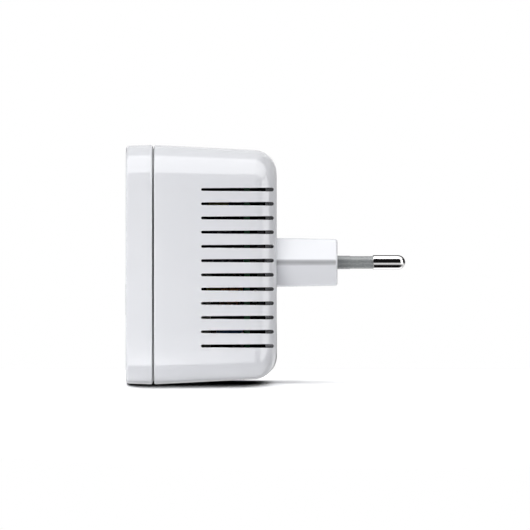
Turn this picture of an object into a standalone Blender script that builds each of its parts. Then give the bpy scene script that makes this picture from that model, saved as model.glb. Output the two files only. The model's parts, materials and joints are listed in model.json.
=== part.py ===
"""Plug-in powerline network adapter with a two-pin Euro plug, built as separate solids.

Units are metres. +Z is up, +X points into the wall socket and the front cover faces -X.
The origin is the centre of the plug's engagement face, on the axis midway between the two pins.
"""

import math

import bmesh
import bpy
from mathutils import Matrix, Vector

MM = 0.001

# Casing
BODY_HEIGHT = 67.2 * MM
BODY_WIDTH = 51.0 * MM
BODY_DEPTH = 42.3 * MM
COVER_DEPTH = 7.65 * MM
CORNER_RADIUS = 13.8 * MM
BACK_FILLET = 6.3 * MM
FRONT_FILLET = 0.8 * MM
WALL = 2.2 * MM
FRONT_WALL = 2.0 * MM
BACK_WALL = 3.2 * MM
INNER_FILLET = 1.5 * MM
REAR_DRAFT = math.tan(math.radians(2.9))
COVER_DRAFT = math.tan(math.radians(1.8))
CORNER_STEPS = 9
FILLET_STEPS = 5

# Plug body and pins
PLUG_LENGTH = 17.0 * MM
PLUG_HEIGHT = 13.7 * MM
PLUG_WIDTH = 35.3 * MM
PLUG_FLAT = 26.1 * MM
PLUG_TAPER = 0.955
PLUG_EDGE_RADIUS = 2.0 * MM
PIN_SPACING = 18.6 * MM
PIN_TIP_SPACING = 17.5 * MM
PIN_LENGTH = 19.0 * MM
PIN_RADIUS = 2.0 * MM
SLEEVE_LENGTH = 10.0 * MM
SLEEVE_RADIUS = 1.78 * MM
SLEEVE_COLLAR_RADIUS = 1.9 * MM
SLEEVE_COLLAR_LENGTH = 3.5 * MM
PIN_CORE_RADIUS = 1.3 * MM
PIN_TAIL_RADIUS = 0.9 * MM

# Stations along X, and the level of the casing's centre below the plug's axis
BACK_X = -PLUG_LENGTH
FRONT_X = BACK_X - BODY_DEPTH
SEAM_X = FRONT_X + COVER_DEPTH
MID_Z = -0.6 * MM
INNER_BACK_X = BACK_X - BACK_WALL
INNER_FRONT_X = FRONT_X + FRONT_WALL

# Seam: a groove shows outside, and a tongue on the cover slides inside a thin lip on the housing
SEAM_GAP = 0.65 * MM
LIP_THICKNESS = 0.8 * MM
TONGUE_OUTSET = 1.0 * MM
TONGUE_INSET = 2.0 * MM
TONGUE_REACH = 2.0 * MM
EDGE_BREAK = 0.25 * MM

# Vent slots, in both sides of the rear housing
SLOT_COUNT = 12
SLOT_PITCH = 3.98 * MM
SLOT_MID_Z = MID_Z - 0.9 * MM
SLOT_FRONT_X = -38.2 * MM
SLOT_BACK_X = -17.7 * MM
SLOT_FRONT_HEIGHT = 0.76 * MM
SLOT_BACK_HEIGHT = 1.04 * MM
SLOT_DEPTH = 6.2 * MM

# Boards
BOARD_THICKNESS = 1.6 * MM
MAIN_BOARD_X = -50.6 * MM
MAIN_BOARD_HALF = (21.4 * MM, 30.2 * MM)
POWER_BOARD_X = -26.2 * MM
POWER_BOARD_HALF = (20.9 * MM, 29.0 * MM)
BOARD_CORNER = 9.5 * MM
MAIN_REAR_X = MAIN_BOARD_X + BOARD_THICKNESS

# Screws and the posts that they bite
POST_Y = 16.6 * MM
POST_Z = 21.0 * MM
POST_RADIUS = 2.5 * MM
PILOT_RADIUS = 1.15 * MM
SCREW_RADIUS = 0.9 * MM
SCREW_HOLE_RADIUS = 1.1 * MM
SCREW_HEAD_RADIUS = 2.1 * MM
SCREW_HEAD_HEIGHT = 1.3 * MM
CLEARANCE = 0.3 * MM

# Plug insert's flange inside the rear wall
FLANGE_WIDTH = 39.0 * MM
FLANGE_HEIGHT = 25.0 * MM
FLANGE_THICKNESS = 2.0 * MM
INSERT_SCREW_Y = 13.0 * MM
INSERT_SCREW_Z = 9.6 * MM

# Wound parts
TOROID_RADIUS = 4.4 * MM
TOROID_BORE = 2.2 * MM
TOROID_HALF_THICKNESS = 2.0 * MM
TRANSFORMER_HEIGHT = 14.2 * MM
TRANSFORMER_Z = 13.0 * MM
CORE_WINDOW = 7.6 * MM

# Network jack and its opening in the underside
JACK_WIDTH = 16.0 * MM
JACK_DEPTH = 13.4 * MM
JACK_LENGTH = 20.8 * MM
JACK_MOUTH_Z = -30.6 * MM
JACK_WALL = 0.35 * MM
PORT_WIDTH = 13.8 * MM
PORT_DEPTH = 11.6 * MM
PLUGWAY_WIDTH = 12.0 * MM
PLUGWAY_DEPTH = 8.2 * MM
PLUGWAY_LENGTH = 15.0 * MM
LATCHWAY_WIDTH = 6.2 * MM
LATCHWAY_DEPTH = 2.0 * MM

# Pairing button, indicators and reset switch
BUTTON_Z = -10.4 * MM
BUTTON_RADIUS = 4.7 * MM
BUTTON_HOLE_RADIUS = 5.0 * MM
BUTTON_PROUD = 0.2 * MM
BUTTON_FLANGE_RADIUS = 6.0 * MM
BUTTON_STEM_RADIUS = 1.6 * MM
SWITCH_SIZE = 6.0 * MM
SWITCH_HEIGHT = 3.5 * MM
PLUNGER_RADIUS = 1.75 * MM
PLUNGER_PROUD = 0.8 * MM
PLUNGER_SEAT = 1.1 * MM
PRESS_TRAVEL = 0.4 * MM
LIGHT_Z = 2.6 * MM
LIGHT_SPACING = 6.5 * MM
LIGHT_RADIUS = 1.0 * MM
RESET_Y = 11.9 * MM
RESET_X = -47.0 * MM
RESET_HOLE_RADIUS = 0.9 * MM
RESET_SWITCH_TOP_Z = -24.5 * MM
RESET_SWITCH_HEIGHT = 4.3 * MM
RESET_SWITCH_SIZE = 3.4 * MM
RESET_PLUNGER_RADIUS = 1.1 * MM

# Rating label, in a shallow recess in the back
LABEL_WIDTH = 26.0 * MM
LABEL_HEIGHT = 10.0 * MM
LABEL_Z = 17.5 * MM
LABEL_RECESS = 0.3 * MM
LABEL_THICKNESS = 0.15 * MM


# ---------------------------------------------------------------- helpers


def clear_scene():
    for obj in list(bpy.data.objects):
        bpy.data.objects.remove(obj)


def material(name, colour, roughness, metallic=0.0, alpha=1.0):
    """A Principled material, made once for each name."""
    found = bpy.data.materials.get(name)
    if found:
        return found
    made = bpy.data.materials.new(name)
    made.use_nodes = True
    shader = made.node_tree.nodes["Principled BSDF"]
    shader.inputs["Base Color"].default_value = (*colour, 1.0)
    shader.inputs["Roughness"].default_value = roughness
    shader.inputs["Metallic"].default_value = metallic
    shader.inputs["Alpha"].default_value = alpha
    made.diffuse_color = (*colour, alpha)
    return made


def white_plastic():
    return material("white_gloss_plastic", (0.86, 0.86, 0.88), 0.18)


def black_plastic():
    return material("black_plastic", (0.02, 0.02, 0.022), 0.45)


def chip_plastic():
    return material("chip_package", (0.03, 0.03, 0.032), 0.55)


def board_laminate():
    return material("board_laminate", (0.03, 0.16, 0.07), 0.4)


def bright_metal():
    return material("nickel_plate", (0.78, 0.77, 0.75), 0.12, 1.0)


def steel():
    return material("zinc_steel", (0.62, 0.62, 0.6), 0.3, 1.0)


def copper_wire():
    return material("copper_wire", (0.72, 0.32, 0.12), 0.3, 1.0)


def ferrite():
    return material("ferrite", (0.06, 0.058, 0.056), 0.6)


def can_sleeve():
    return material("capacitor_sleeve", (0.03, 0.035, 0.05), 0.3)


def middle_of(bm):
    """The middle of a bmesh's bounding box."""
    places = [vert.co for vert in bm.verts]
    low = Vector([min(place[axis] for place in places) for axis in range(3)])
    high = Vector([max(place[axis] for place in places) for axis in range(3)])
    return (low + high) / 2


def finish(name, bm, surface, origin=None, smooth_angle=35.0):
    """Turns a bmesh into a named object placed at its origin, or at its middle if it has none of its own.

    Faces point out, round faces are smooth and end caps stay flat.
    """
    bmesh.ops.recalc_face_normals(bm, faces=bm.faces)
    place = Vector(origin) if origin is not None else middle_of(bm)
    bmesh.ops.translate(bm, verts=bm.verts, vec=-place)
    mesh = bpy.data.meshes.new(name)
    bm.to_mesh(mesh)
    bm.free()
    mesh.shade_smooth()
    mesh.set_sharp_from_angle(angle=math.radians(smooth_angle))
    for face in mesh.polygons:
        face.use_smooth = len(face.vertices) == 4
    obj = bpy.data.objects.new(name, mesh)
    obj.location = place
    bpy.context.scene.collection.objects.link(obj)
    if surface:
        mesh.materials.append(surface)
    return obj


def cutter(name, bm):
    """A helper that Boolean modifiers use, left out of the model itself."""
    obj = finish(name, bm, None)
    obj.hide_render = True
    obj.display_type = "WIRE"
    return obj


def apply_boolean(obj, other, operation):
    modifier = obj.modifiers.new(f"{operation.lower()}_{other.name}", "BOOLEAN")
    modifier.operation = operation
    modifier.solver = "EXACT"
    modifier.object = other


def cut(obj, bm, name):
    apply_boolean(obj, cutter(f"cut_{name}", bm), "DIFFERENCE")


def join(obj, bm, name):
    apply_boolean(obj, cutter(f"add_{name}", bm), "UNION")


def bridge(bm, first, second):
    """Faces between two closed loops of equally many vertices."""
    for i in range(len(first)):
        j = (i + 1) % len(first)
        bm.faces.new((first[i], first[j], second[j], second[i]))


def skin(bm, rings):
    """Closes a chain of rings that hold equally many points into one solid, with a flat cap at each end."""
    made = [[bm.verts.new(point) for point in ring] for ring in rings]
    for first, second in zip(made, made[1:]):
        bridge(bm, first, second)
    bm.faces.new(list(reversed(made[0])))
    bm.faces.new(made[-1])


def add_box(bm, low, high, bevel=0.0):
    """A box between two corners, with all of its edges broken by bevel."""
    low, high = Vector(low), Vector(high)
    size = high - low
    matrix = Matrix.Translation((low + high) / 2) @ Matrix.Diagonal((*size, 1.0))
    made = bmesh.ops.create_cube(bm, size=1.0, matrix=matrix)
    if bevel:
        edges = list({edge for vert in made["verts"] for edge in vert.link_edges})
        bmesh.ops.bevel(bm, geom=edges, offset=bevel, segments=1, affect="EDGES")


def turned(bm, profile, centre, axis, steps=24):
    """A solid of revolution about axis through centre. The profile lists (radius, distance along axis)."""
    direction = Vector(axis).normalized()
    side = direction.orthogonal().normalized()
    across = direction.cross(side)
    angles = [2 * math.pi * i / steps for i in range(steps)]
    rings = [
        [
            Vector(centre) + direction * along + (side * math.cos(a) + across * math.sin(a)) * radius
            for a in angles
        ]
        for radius, along in profile
    ]
    skin(bm, rings)


def disc(bm, radius, start, end, centre, axis, steps=24):
    turned(bm, [(radius, start), (radius, end)], centre, axis, steps)


def rounded_outline(half_width, half_height, radius, steps=4):
    """Points of a rounded rectangle about the origin, anticlockwise."""
    points = []
    for quarter in range(4):
        sign_a = 1 if quarter in (0, 3) else -1
        sign_b = 1 if quarter in (0, 1) else -1
        for step in range(steps + 1):
            angle = math.pi / 2 * (quarter + step / steps)
            points.append(
                (
                    sign_a * (half_width - radius) + radius * math.cos(angle),
                    sign_b * (half_height - radius) + radius * math.sin(angle),
                )
            )
    return points


def slab(bm, outline, start, end, place):
    """Extrudes a flat outline between two stations; place(a, b, station) gives each point's position."""
    skin(bm, [[place(a, b, station) for a, b in outline] for station in (start, end)])


def on_x(a, b, station):
    return Vector((station, a, MID_Z + b))


def on_z(a, b, station):
    return Vector((a, b, station))


def box_on_board(name, face_x, toward, centre, size, surface, bevel=0.1 * MM):
    """A block that stands on a board's face. Size is (height off the board, width in Y, height in Z)."""
    bm = bmesh.new()
    y, z = centre
    height, width, tall = size
    gap = CLEARANCE * toward
    near, far = face_x + gap, face_x + height * toward
    add_box(
        bm,
        (min(near, far), y - width / 2, MID_Z + z - tall / 2),
        (max(near, far), y + width / 2, MID_Z + z + tall / 2),
        bevel,
    )
    finish(name, bm, surface)


# ---------------------------------------------------------------- casing


def casing_ring(x, inset, steps=CORNER_STEPS):
    """The casing's rounded-rectangle section at x, a distance inset inside its outer skin."""
    draft = REAR_DRAFT * (x - SEAM_X) if x > SEAM_X else COVER_DRAFT * (SEAM_X - x)
    shrink = draft + inset
    outline = rounded_outline(
        BODY_WIDTH / 2 - shrink, BODY_HEIGHT / 2 - shrink, CORNER_RADIUS - shrink, steps
    )
    return [on_x(a, b, x) for a, b in outline]


def fillet_rings(start_x, end_x, inset, radius, steps):
    """Rings of a quarter-round edge that turns the side wall into a flat end."""
    direction = 1 if end_x > start_x else -1
    rings = []
    for step in range(steps + 1):
        angle = math.pi / 2 * step / steps
        x = end_x - direction * radius * (1 - math.sin(angle))
        rings.append(casing_ring(x, inset + radius * (1 - math.cos(angle))))
    return rings


def slot_outline():
    """A slot seen from the side: a slim wedge, rounded at both ends, as (x, z) about its own level."""
    points = []
    for end_x, height, start in (
        (SLOT_BACK_X, SLOT_BACK_HEIGHT, -90),
        (SLOT_FRONT_X, SLOT_FRONT_HEIGHT, 90),
    ):
        radius = height / 2
        middle = end_x - radius if start < 0 else end_x + radius
        for step in range(5):
            angle = math.radians(start + 45 * step)
            points.append((middle + radius * math.cos(angle), radius * math.sin(angle)))
    return points


def cut_slots(housing):
    bm = bmesh.new()
    outside = BODY_WIDTH / 2 + 1 * MM
    floor = BODY_WIDTH / 2 - SLOT_DEPTH
    for index in range(SLOT_COUNT):
        level = SLOT_MID_Z + (index - (SLOT_COUNT - 1) / 2) * SLOT_PITCH
        for side in (-1, 1):
            slab(
                bm,
                slot_outline(),
                side * floor,
                side * outside,
                lambda a, b, y, level=level: Vector((a, y, level + b)),
            )
    cut(housing, bm, "slots")


def add_posts(housing):
    """Tall posts for the main board, short ones for the power board and low bosses for the plug insert."""
    bm = bmesh.new()
    root = BACK_X - BACK_WALL / 2
    for side in (-1, 1):
        tall = Vector((0, side * POST_Y, MID_Z + POST_Z))
        disc(bm, POST_RADIUS, MAIN_REAR_X + CLEARANCE, root, tall, (1, 0, 0), 16)
        short = Vector((0, side * POST_Y, MID_Z - POST_Z))
        disc(bm, POST_RADIUS, POWER_BOARD_X + BOARD_THICKNESS + CLEARANCE, root, short, (1, 0, 0), 16)
    join(housing, bm, "posts")


def cut_pilot_holes(housing):
    bm = bmesh.new()
    for side in (-1, 1):
        tall = Vector((0, side * POST_Y, MID_Z + POST_Z))
        disc(bm, PILOT_RADIUS, MAIN_REAR_X - 1 * MM, MAIN_REAR_X + 9 * MM, tall, (1, 0, 0), 12)
        short = Vector((0, side * POST_Y, MID_Z - POST_Z))
        disc(bm, PILOT_RADIUS, POWER_BOARD_X - 1 * MM, INNER_BACK_X + 1.2 * MM, short, (1, 0, 0), 12)
        insert = Vector((0, side * INSERT_SCREW_Y, side * INSERT_SCREW_Z))
        disc(bm, PILOT_RADIUS, INNER_BACK_X - 2 * MM, BACK_X - 0.9 * MM, insert, (1, 0, 0), 12)
    cut(housing, bm, "pilots")


def cut_openings(housing):
    """The plug's aperture, the network port, the reset hole and the label's recess."""
    bm = bmesh.new()
    skin(bm, [plug_ring(x, 1.0, CLEARANCE) for x in (INNER_BACK_X - 1 * MM, BACK_X + 1 * MM)])
    port = rounded_outline(PORT_DEPTH / 2, PORT_WIDTH / 2, 0.8 * MM, 3)
    jack_mid_x = MAIN_REAR_X + JACK_DEPTH / 2
    slab(
        bm,
        [(jack_mid_x + a, b) for a, b in port],
        MID_Z - BODY_HEIGHT / 2 - 1 * MM,
        JACK_MOUTH_Z + 0.2 * MM,
        on_z,
    )
    disc(
        bm,
        RESET_HOLE_RADIUS,
        MID_Z - BODY_HEIGHT / 2 - 1 * MM,
        JACK_MOUTH_Z + 0.2 * MM,
        (RESET_X, RESET_Y, 0),
        (0, 0, 1),
        16,
    )
    add_box(
        bm,
        (BACK_X - LABEL_RECESS, -LABEL_WIDTH / 2, LABEL_Z - LABEL_HEIGHT / 2),
        (BACK_X + 1 * MM, LABEL_WIDTH / 2, LABEL_Z + LABEL_HEIGHT / 2),
    )
    cut(housing, bm, "openings")


def rear_housing():
    bm = bmesh.new()
    rim_x = SEAM_X + SEAM_GAP / 2
    lip_end_x = SEAM_X + TONGUE_REACH + CLEARANCE
    rings = fillet_rings(lip_end_x, INNER_BACK_X, WALL, INNER_FILLET, 3)[::-1]
    rings += [
        casing_ring(lip_end_x, WALL),
        casing_ring(lip_end_x, LIP_THICKNESS),
        casing_ring(rim_x, LIP_THICKNESS),
        casing_ring(rim_x, EDGE_BREAK),
        casing_ring(rim_x + EDGE_BREAK, 0.0),
    ]
    rings += fillet_rings(rim_x, BACK_X, 0.0, BACK_FILLET, FILLET_STEPS)
    skin(bm, rings)
    housing = finish("rear_housing", bm, white_plastic())
    add_posts(housing)
    cut_pilot_holes(housing)
    cut_openings(housing)
    cut_slots(housing)
    return housing


def add_snap_arms(cover):
    """Four arms that reach into the housing beside its walls."""
    bm = bmesh.new()
    outer = BODY_WIDTH / 2 - WALL - CLEARANCE
    for side in (-1, 1):
        for level in (-1, 1):
            middle = MID_Z + level * 12 * MM
            near, far = side * (outer - 1.2 * MM), side * outer
            add_box(
                bm,
                (INNER_FRONT_X - 0.5 * MM, min(near, far), middle - 3 * MM),
                (SEAM_X + 6 * MM, max(near, far), middle + 3 * MM),
            )
    join(cover, bm, "arms")


def front_cover():
    bm = bmesh.new()
    rim_x = SEAM_X - SEAM_GAP / 2
    tongue_end_x = SEAM_X + TONGUE_REACH
    rings = fillet_rings(tongue_end_x, INNER_FRONT_X, TONGUE_INSET, INNER_FILLET, 2)[::-1]
    rings += [
        casing_ring(tongue_end_x, TONGUE_INSET),
        casing_ring(tongue_end_x, TONGUE_OUTSET),
        casing_ring(rim_x, TONGUE_OUTSET),
        casing_ring(rim_x, EDGE_BREAK),
        casing_ring(rim_x - EDGE_BREAK, 0.0),
    ]
    rings += fillet_rings(rim_x, FRONT_X, 0.0, FRONT_FILLET, 3)
    skin(bm, rings)
    cover = finish("front_cover", bm, white_plastic())
    add_snap_arms(cover)
    holes = bmesh.new()
    front_span = (FRONT_X - 1 * MM, INNER_FRONT_X + 1 * MM)
    disc(holes, BUTTON_HOLE_RADIUS, *front_span, (0, 0, BUTTON_Z), (1, 0, 0), 32)
    for y in light_positions():
        disc(holes, LIGHT_RADIUS + CLEARANCE / 2, *front_span, (0, y, LIGHT_Z), (1, 0, 0), 16)
    cut(cover, holes, "cover_holes")
    return cover


def rating_label():
    bm = bmesh.new()
    gap = LABEL_RECESS - LABEL_THICKNESS
    add_box(
        bm,
        (BACK_X - LABEL_RECESS + gap / 2, -LABEL_WIDTH / 2 + gap, LABEL_Z - LABEL_HEIGHT / 2 + gap),
        (BACK_X - gap / 2, LABEL_WIDTH / 2 - gap, LABEL_Z + LABEL_HEIGHT / 2 - gap),
    )
    finish("rating_label", bm, material("label_film", (0.7, 0.71, 0.73), 0.35))


# ---------------------------------------------------------------- plug


def plug_ring(x, scale, outset=0.0):
    """The plug's six-sided section with rounded edges, grown by outset."""
    corners = [
        Vector((PLUG_WIDTH / 2, 0)),
        Vector((PLUG_FLAT / 2, PLUG_HEIGHT / 2)),
        Vector((-PLUG_FLAT / 2, PLUG_HEIGHT / 2)),
        Vector((-PLUG_WIDTH / 2, 0)),
        Vector((-PLUG_FLAT / 2, -PLUG_HEIGHT / 2)),
        Vector((PLUG_FLAT / 2, -PLUG_HEIGHT / 2)),
    ]
    points = []
    for i, corner in enumerate(corners):
        to_last = (corners[i - 1] - corner).normalized()
        to_next = (corners[(i + 1) % 6] - corner).normalized()
        half_angle = to_last.angle(to_next) / 2
        centre = corner + (to_last + to_next).normalized() * PLUG_EDGE_RADIUS / math.sin(half_angle)
        outward = (corner - centre).normalized()
        sweep = math.pi / 2 - half_angle
        for step in range(-2, 3):
            angle = sweep * step / 2
            turned_out = Matrix.Rotation(angle, 2) @ outward
            point = centre * scale + turned_out * (PLUG_EDGE_RADIUS * scale + outset)
            points.append(Vector((x, point.x, point.y)))
    return points


def pin_frame(side):
    """Where a pin leaves the engagement face, and its direction: the pins lean towards each other."""
    base = Vector((0, side * PIN_SPACING / 2, 0))
    tip = Vector((PIN_LENGTH, side * PIN_TIP_SPACING / 2, 0))
    return base, (tip - base).normalized()


def plug_insert():
    bm = bmesh.new()
    end_round = 0.8 * MM
    rings = [plug_ring(INNER_BACK_X - FLANGE_THICKNESS / 2, 1.0), plug_ring(BACK_X, 1.0)]
    for step in range(4):
        angle = math.pi / 2 * step / 3
        inset = end_round * (1 - math.cos(angle))
        rings.append(plug_ring(-end_round * (1 - math.sin(angle)), PLUG_TAPER, -inset))
    skin(bm, rings)
    insert = finish("plug_insert", bm, white_plastic())
    flange = bmesh.new()
    slab(
        flange,
        rounded_outline(FLANGE_WIDTH / 2, FLANGE_HEIGHT / 2, 3 * MM, 3),
        INNER_BACK_X - CLEARANCE - FLANGE_THICKNESS,
        INNER_BACK_X - CLEARANCE,
        lambda a, b, x: Vector((x, a, b)),
    )
    join(insert, flange, "flange")
    holes = bmesh.new()
    for side in (-1, 1):
        base, direction = pin_frame(side)
        reach = -INNER_BACK_X + 5 * MM
        bore = [
            (PIN_CORE_RADIUS + 0.1 * MM, -reach),
            (PIN_CORE_RADIUS + 0.1 * MM, -2 * MM),
            (SLEEVE_COLLAR_RADIUS + 0.1 * MM, -2 * MM),
            (SLEEVE_COLLAR_RADIUS + 0.1 * MM, 1 * MM),
        ]
        turned(holes, bore, base, direction, 20)
        screw_line = (0, side * INSERT_SCREW_Y, side * INSERT_SCREW_Z)
        flange_span = (INNER_BACK_X - 3 * MM, INNER_BACK_X + 1 * MM)
        disc(holes, SCREW_HOLE_RADIUS, *flange_span, screw_line, (1, 0, 0), 12)
    cut(insert, holes, "insert_holes")


def pins():
    """Each pin is one turned piece: bare rounded tip, thinner core under the sleeve and solder tail."""
    tail_x = POWER_BOARD_X - 1.0 * MM
    for side, name in ((-1, "near"), (1, "far")):
        base, direction = pin_frame(side)
        shoulder = INNER_BACK_X - FLANGE_THICKNESS
        profile = [
            (PIN_TAIL_RADIUS, tail_x),
            (PIN_TAIL_RADIUS, shoulder),
            (PIN_CORE_RADIUS, shoulder),
            (PIN_CORE_RADIUS, SLEEVE_LENGTH),
            (PIN_RADIUS - 0.25 * MM, SLEEVE_LENGTH),
            (PIN_RADIUS, SLEEVE_LENGTH + 0.25 * MM),
        ]
        for step in range(6):
            angle = math.radians(15 * step)
            profile.append(
                (PIN_RADIUS * math.cos(angle), PIN_LENGTH - PIN_RADIUS * (1 - math.sin(angle)))
            )
        bm = bmesh.new()
        turned(bm, profile, base, direction, 24)
        finish(f"pin_{name}", bm, bright_metal())
        sleeve = bmesh.new()
        end = SLEEVE_LENGTH - 0.05 * MM
        turned(
            sleeve,
            [
                (SLEEVE_COLLAR_RADIUS, -1.9 * MM),
                (SLEEVE_COLLAR_RADIUS, SLEEVE_COLLAR_LENGTH),
                (SLEEVE_RADIUS, SLEEVE_COLLAR_LENGTH + 0.12 * MM),
                (SLEEVE_RADIUS, end),
            ],
            base,
            direction,
            24,
        )
        obj = finish(f"pin_sleeve_{name}", sleeve, material("grey_sleeve", (0.3, 0.31, 0.31), 0.5))
        bore = bmesh.new()
        disc(bore, PIN_CORE_RADIUS + 0.08 * MM, -3 * MM, SLEEVE_LENGTH + 1 * MM, base, direction, 24)
        cut(obj, bore, f"sleeve_{name}")


# ---------------------------------------------------------------- boards and screws


def board(name, front_x, half, holes):
    """A drilled board. Holes are (y, z, radius), from the casing's centre."""
    bm = bmesh.new()
    slab(bm, rounded_outline(*half, BOARD_CORNER, 5), front_x, front_x + BOARD_THICKNESS, on_x)
    obj = finish(name, bm, board_laminate())
    drilled = bmesh.new()
    for y, z, radius in holes:
        disc(
            drilled,
            radius,
            front_x - 1 * MM,
            front_x + BOARD_THICKNESS + 1 * MM,
            (0, y, MID_Z + z),
            (1, 0, 0),
            16,
        )
    cut(obj, drilled, name)


def boards():
    board(
        "main_board",
        MAIN_BOARD_X,
        MAIN_BOARD_HALF,
        [(side * POST_Y, POST_Z, SCREW_HOLE_RADIUS) for side in (-1, 1)],
    )
    holes = []
    for side in (-1, 1):
        base, direction = pin_frame(side)
        at_board = base + direction * (POWER_BOARD_X / direction.x)
        holes.append((side * POST_Y, POST_Z, POST_RADIUS + 0.4 * MM))
        holes.append((side * POST_Y, -POST_Z, SCREW_HOLE_RADIUS))
        holes.append((at_board.y, -MID_Z, PIN_TAIL_RADIUS + 0.2 * MM))
    board("power_board", POWER_BOARD_X, POWER_BOARD_HALF, holes)


def screw(name, head_x, length, y, z):
    """A pan-head screw driven towards +X, with a cross recess."""
    bm = bmesh.new()
    turned(
        bm,
        [
            (SCREW_HEAD_RADIUS * 0.6, -SCREW_HEAD_HEIGHT),
            (SCREW_HEAD_RADIUS * 0.9, -SCREW_HEAD_HEIGHT * 0.75),
            (SCREW_HEAD_RADIUS, -SCREW_HEAD_HEIGHT * 0.3),
            (SCREW_HEAD_RADIUS, 0),
            (SCREW_RADIUS, 0),
            (SCREW_RADIUS, length - 0.8 * MM),
            (SCREW_RADIUS * 0.3, length),
        ],
        (head_x, y, z),
        (1, 0, 0),
        12,
    )
    obj = finish(name, bm, steel())
    recess = bmesh.new()
    half, slim = 1.1 * MM, 0.25 * MM
    top = head_x - SCREW_HEAD_HEIGHT
    add_box(recess, (top - 1 * MM, y - half, z - slim), (top + 0.7 * MM, y + half, z + slim))
    cut(obj, recess, f"{name}_slot")
    crossed = bmesh.new()
    add_box(crossed, (top - 1 * MM, y - slim, z - half), (top + 0.7 * MM, y + slim, z + half))
    cut(obj, crossed, f"{name}_cross")


def screws():
    gap = 0.1 * MM
    for side, name in ((-1, "near"), (1, "far")):
        screw(f"main_board_screw_{name}", MAIN_BOARD_X - gap, 8 * MM, side * POST_Y, MID_Z + POST_Z)
        screw(f"power_board_screw_{name}", POWER_BOARD_X - gap, 6 * MM, side * POST_Y, MID_Z - POST_Z)
        flange_x = INNER_BACK_X - CLEARANCE - FLANGE_THICKNESS
        screw(f"insert_screw_{name}", flange_x - gap, 4 * MM, side * INSERT_SCREW_Y, side * INSERT_SCREW_Z)


def board_link():
    """The header that carries low voltage and signal from the power board to the main board."""
    bm = bmesh.new()
    y, z = -9.2 * MM, 25.6 * MM
    add_box(
        bm,
        (MAIN_REAR_X + CLEARANCE, y - 5 * MM, MID_Z + z - 2.4 * MM),
        (POWER_BOARD_X - CLEARANCE, y + 5 * MM, MID_Z + z + 2.4 * MM),
        0.2 * MM,
    )
    obj = finish("board_link_header", bm, black_plastic())
    waist = bmesh.new()
    for side in (-1, 1):
        level = MID_Z + z + side * 2.4 * MM
        add_box(
            waist,
            (MAIN_REAR_X + 5 * MM, y - 6 * MM, level - 0.7 * MM),
            (POWER_BOARD_X - 5 * MM, y + 6 * MM, level + 0.7 * MM),
        )
    cut(obj, waist, "link_waist")


# ---------------------------------------------------------------- power side


def can(name, y, z, radius, height):
    """An aluminium electrolytic capacitor in its sleeve, with the rolled groove near its foot."""
    bm = bmesh.new()
    groove = radius - 0.35 * MM
    turned(
        bm,
        [
            (radius - 0.3 * MM, CLEARANCE),
            (radius, CLEARANCE + 0.3 * MM),
            (radius, 1.3 * MM),
            (groove, 1.8 * MM),
            (radius, 2.3 * MM),
            (radius, height - 0.4 * MM),
            (radius - 0.4 * MM, height),
        ],
        (POWER_BOARD_X, y, MID_Z + z),
        (-1, 0, 0),
        20,
    )
    finish(name, bm, can_sleeve())


def transformer():
    """An E-core transformer: core frame, bobbin with its flanges, and the taped winding between them."""
    centre = Vector((POWER_BOARD_X - TRANSFORMER_HEIGHT / 2, 0, MID_Z + TRANSFORMER_Z))
    half = Vector((TRANSFORMER_HEIGHT / 2 - 0.8 * MM, 7.9 * MM, 2.4 * MM))
    core = bmesh.new()
    add_box(core, centre - half, centre + half, 0.2 * MM)
    obj = finish("transformer_core", core, ferrite())
    window = bmesh.new()
    for side in (-1, 1):
        low = centre + Vector((-CORE_WINDOW / 2, side * 4.0 * MM - 1.6 * MM, -5 * MM))
        high = centre + Vector((CORE_WINDOW / 2, side * 4.0 * MM + 1.6 * MM, 5 * MM))
        add_box(window, low, high)
    cut(obj, window, "core_windows")
    reach = CORE_WINDOW / 2 - 0.2 * MM
    flange = 0.7 * MM
    waist, rim = 3.1 * MM, 5.3 * MM
    bobbin = [
        (-reach, rim),
        (-reach + flange, rim),
        (-reach + flange, waist),
        (reach - flange, waist),
        (reach - flange, rim),
        (reach, rim),
    ]
    bobbin_plastic = material("bobbin_plastic", (0.04, 0.04, 0.045), 0.5)
    tube("transformer_bobbin", centre, bobbin, 2.65 * MM, bobbin_plastic)
    length = reach - flange - 0.1 * MM
    winding = [(-length, 5.0 * MM), (length, 5.0 * MM)]
    tape = material("winding_tape", (0.75, 0.55, 0.06), 0.4)
    tube("transformer_winding", centre, winding, 3.25 * MM, tape)


def tube(name, centre, profile, bore, surface):
    """A rounded-square tube along X. Profile lists (distance, half width); bore is a half width too."""
    longer = 1.2 * MM
    bm = bmesh.new()
    rings = []
    for along, half in profile:
        outline = rounded_outline(half, half + longer, 0.6 * MM, 2)
        rings.append([centre + Vector((along, a, b)) for a, b in outline])
    skin(bm, rings)
    obj = finish(name, bm, surface)
    hole = bmesh.new()
    outline = rounded_outline(bore, bore + longer, 0.2 * MM, 2)
    ends = (-TRANSFORMER_HEIGHT / 2, TRANSFORMER_HEIGHT / 2)
    slab(hole, outline, *ends, lambda a, b, x: centre + Vector((x, a, b)))
    cut(obj, hole, f"{name}_bore")


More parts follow.
